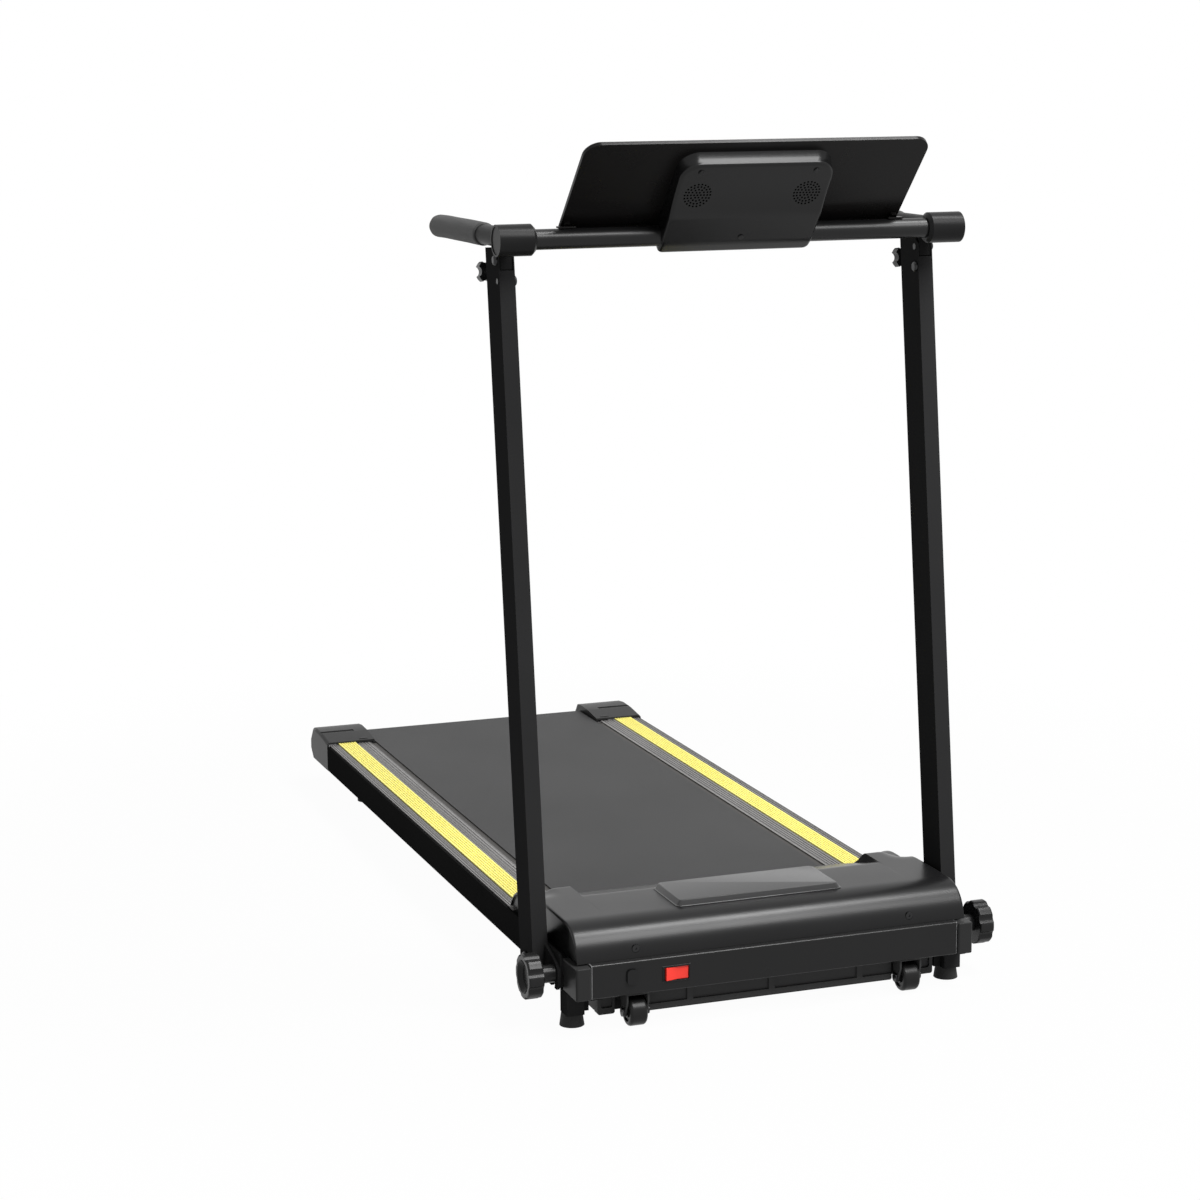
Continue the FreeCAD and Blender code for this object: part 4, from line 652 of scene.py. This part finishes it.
# ---- console housing: mm up the panel and out of its back, from the foot of the panel's back ----
UP = Vector((0, -0.699, 0.715))
OUT = Vector((0, -0.715, -0.699))
CONSOLE = Vector((0, BAR_Y + 11.3 * MM, BAR_Z + 9.3 * MM))
HOUSING_HALF = 100.0
HOUSING_FOOT = -17.0
HOUSING_TOP = 124.0
HOLLOW_FOOT = 47.5                       # the hollow curve starts here
CORNERS_MEET = 50.0                      # below this the lower corners count, above it the upper ones
HOUSING_LOW = ((HOUSING_FOOT, 27.0), (1.0, 29.5), (HOLLOW_FOOT, 26.5))
HOUSING_HIGH = ((HOLLOW_FOOT, 26.5), (60.0, 23.6), (74.0, 20.9), (90.0, 18.8), (106.0, 17.2),
                (HOUSING_TOP, 15.4))
CORNER_TOP = 25.0
CORNER_LOW = 8.0
SOFT = 4.0                               # radius of the edge round the back
WALLS = ((6.0, 2.0, 0.0), (0.0, 4.0, 3.0))   # level, and how far the top and foot shift up there


def on_console(x, up, out):
    """A place on the console in metres, from mm across, up and out."""
    return Vector((x * MM, 0, 0)) + CONSOLE + UP * up * MM + OUT * out * MM


def housing_out(up):
    """How far the housing stands out of the panel at a height: two flats below a hollow curve."""
    if up > HOLLOW_FOOT:
        return along(HOUSING_HIGH, up)
    (u0, o0), (u1, o1) = HOUSING_LOW[:2] if up < 1.0 else HOUSING_LOW[1:]
    return o0 + (o1 - o0) * (up - u0) / (u1 - u0)


def nearest_corner(up):
    """Radius of the corners at this height, and the distance to their end of the housing."""
    if up > CORNERS_MEET:
        return CORNER_TOP, HOUSING_TOP - up
    return CORNER_LOW, up - HOUSING_FOOT


def border_gap(x, up):
    """Distance from a point of the housing's back to its outline, which has rounded corners."""
    radius, far_up = nearest_corner(up)
    far_x = HOUSING_HALF - abs(x)
    if far_x < radius and far_up < radius:
        return radius - math.hypot(radius - far_x, radius - far_up)
    return min(far_x, far_up)


def half_width(up):
    radius, far_up = nearest_corner(up)
    if far_up >= radius:
        return HOUSING_HALF
    return HOUSING_HALF - radius + math.sqrt(max(0.0, radius ** 2 - (radius - far_up) ** 2))


def make_housing():
    """The back as rows of points, closer together at the edges, then walls down to the panel."""
    ups = [HOUSING_FOOT, -16.8, -16.2, -15.2, -13.8, -12.0, -10.0, -8.0, -4.0, 1.0]
    ups += spaced(1.0, HOLLOW_FOOT, 8)[1:] + spaced(HOLLOW_FOOT, 88.0, 8)[1:]
    ups += spaced(88.0, HOUSING_TOP - CORNER_TOP, 3)[1:]
    ups += [HOUSING_TOP - CORNER_TOP * (1 - math.sin(math.pi / 2 * i / 16)) for i in range(1, 17)]
    shares = [1 - 0.16 * (1 - i / 10) ** 2 for i in range(11)]
    across = [-s for s in reversed(shares)] + spaced(-0.8, 0.8, 12) + shares
    bm = bmesh.new()
    rows = []
    for up in ups:
        row = []
        for share in across:
            x = share * half_width(up)
            gap = max(0.0, border_gap(x, up))
            sink = SOFT - math.sqrt(max(0.0, SOFT ** 2 - (SOFT - gap) ** 2)) if gap < SOFT else 0.0
            row.append(bm.verts.new(on_console(x, up, housing_out(up) - sink)))
        rows.append(row)
    grid_faces(bm, rows)
    rim = [e for e in bm.edges if e.is_boundary]
    for level, top_shift, foot_shift in WALLS:
        grown = bmesh.ops.extrude_edge_only(bm, edges=rim)
        rim = [g for g in grown["geom"] if isinstance(g, bmesh.types.BMEdge)]
        for v in {v for e in rim for v in e.verts}:
            up = (v.co - CONSOLE).dot(UP) / MM
            shift = top_shift if up > 100 else foot_shift if up < -10 else 0.0
            v.co = on_console(v.co.x / MM, up + shift, level)
    bmesh.ops.remove_doubles(bm, verts=bm.verts, dist=SAME_PLACE)
    piece = make_piece("console_back", bm, HOUSING, "handlebar",
                       "console_housing")
    split_edges(piece, 30)


SPEAKER_X = 71.0
SPEAKER_UP = 78.0
HOLE_RADIUS = 1.25
HOLE_SIDES = 12
HOLE_RINGS = ((0.0, 1), (4.2, 6), (8.4, 12), (12.6, 18), (16.4, 22))   # radius, holes in the ring
HOLE_RIM = 0.15                          # how far a spot's rim and middle stand off the housing
HOLE_MIDDLE = 0.08


def add_hole(bm, x, up):
    """One dished spot in painted shade, where a hole would be dark; it follows the housing's curve."""
    rim = []
    for k in range(HOLE_SIDES):
        angle = 2 * math.pi * k / HOLE_SIDES
        high = up + HOLE_RADIUS * math.sin(angle)
        spot = on_console(x + HOLE_RADIUS * math.cos(angle), high, housing_out(high) + HOLE_RIM)
        rim.append(bm.verts.new(spot))
    pit = bm.verts.new(on_console(x, up, housing_out(up) + HOLE_MIDDLE))
    for k in range(HOLE_SIDES):
        bm.faces.new((rim[k], rim[(k + 1) % HOLE_SIDES], pit))


def make_grille():
    """Rings of dark spots over each speaker: painted shade where the grille's holes would be."""
    bm = bmesh.new()
    for side in (-1, 1):
        for ring, count in HOLE_RINGS:
            for turn in spaced(0, 2 * math.pi, count)[:-1]:
                add_hole(bm, side * SPEAKER_X + ring * math.cos(turn), SPEAKER_UP + ring * math.sin(turn))
    bmesh.ops.recalc_face_normals(bm, faces=bm.faces)
    mesh = bpy.data.meshes.new("grille_hole_shade")
    bm.to_mesh(mesh)
    bm.free()
    mesh.materials.append(HOLE_SHADE)
    piece = bpy.data.objects.new("grille_hole_shade", mesh)
    bpy.context.scene.collection.objects.link(piece)
    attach(piece, "handlebar")


# ---- foam grips: mm along the grip from its end at the sleeve ----
GRIP_RADIUS = 14.65
GRIP_START = ((0.0, 12.6), (0.2, 13.6), (1.0, 14.35), (2.4, GRIP_RADIUS))   # place, radius
GRIP_ROUND = 9.0                         # radius of the far end's edge
GRIP_HOLE = 3.0
GRIP_SIDES = 40
GRIP_RIPPLE = 0.12
GRIP_DROOP = 0.9                         # the soft end hangs this much lower
DROOP_LENGTH = 54.0


def grip_line(length):
    """The grip's outline from end to end, as (place, radius)."""
    line = list(GRIP_START)
    line += [(y, GRIP_RADIUS) for y in spaced(6.0, length - GRIP_ROUND, 44)]
    for angle in spaced(0.15, math.pi / 2, 9):
        line.append((length - GRIP_ROUND + GRIP_ROUND * math.sin(angle),
                     GRIP_RADIUS - GRIP_ROUND + GRIP_ROUND * math.cos(angle)))
    return line + [(length, GRIP_HOLE), (length - 0.2, 0.01)]


def make_grip(node, name):
    """Foam tube with faint ripples round it, that droops a little at its soft end."""
    low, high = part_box(node)
    start = Vector(((low.x + high.x) / 2, low.y, (low.z + high.z) / 2))
    fit = (high.x - low.x) / 2 / MM / GRIP_RADIUS
    length = (high.y - low.y) / MM
    bm = bmesh.new()
    rows = []
    for y, radius in grip_line(length):
        ring = []
        droop = GRIP_DROOP * ease((y - (length - DROOP_LENGTH)) / DROOP_LENGTH)
        for angle in spaced(0, 2 * math.pi, GRIP_SIDES):
            ripple = GRIP_RIPPLE * (1 - math.cos(7 * angle + y * 0.05)) * min(1, radius / 14)
            out = radius * fit - ripple
            place = Vector((out * math.cos(angle), y, out * math.sin(angle) - droop)) * MM
            ring.append(bm.verts.new(start + place))
        rows.append(ring)
    grid_faces(bm, rows)
    bmesh.ops.remove_doubles(bm, verts=bm.verts, dist=SAME_PLACE)
    piece = make_piece(name, bm, FOAM, "handlebar", node)


make_cover()
make_plate()
make_housing()
make_grille()
make_grip("grip_left", "foam_left")
make_grip("grip_right", "foam_right")
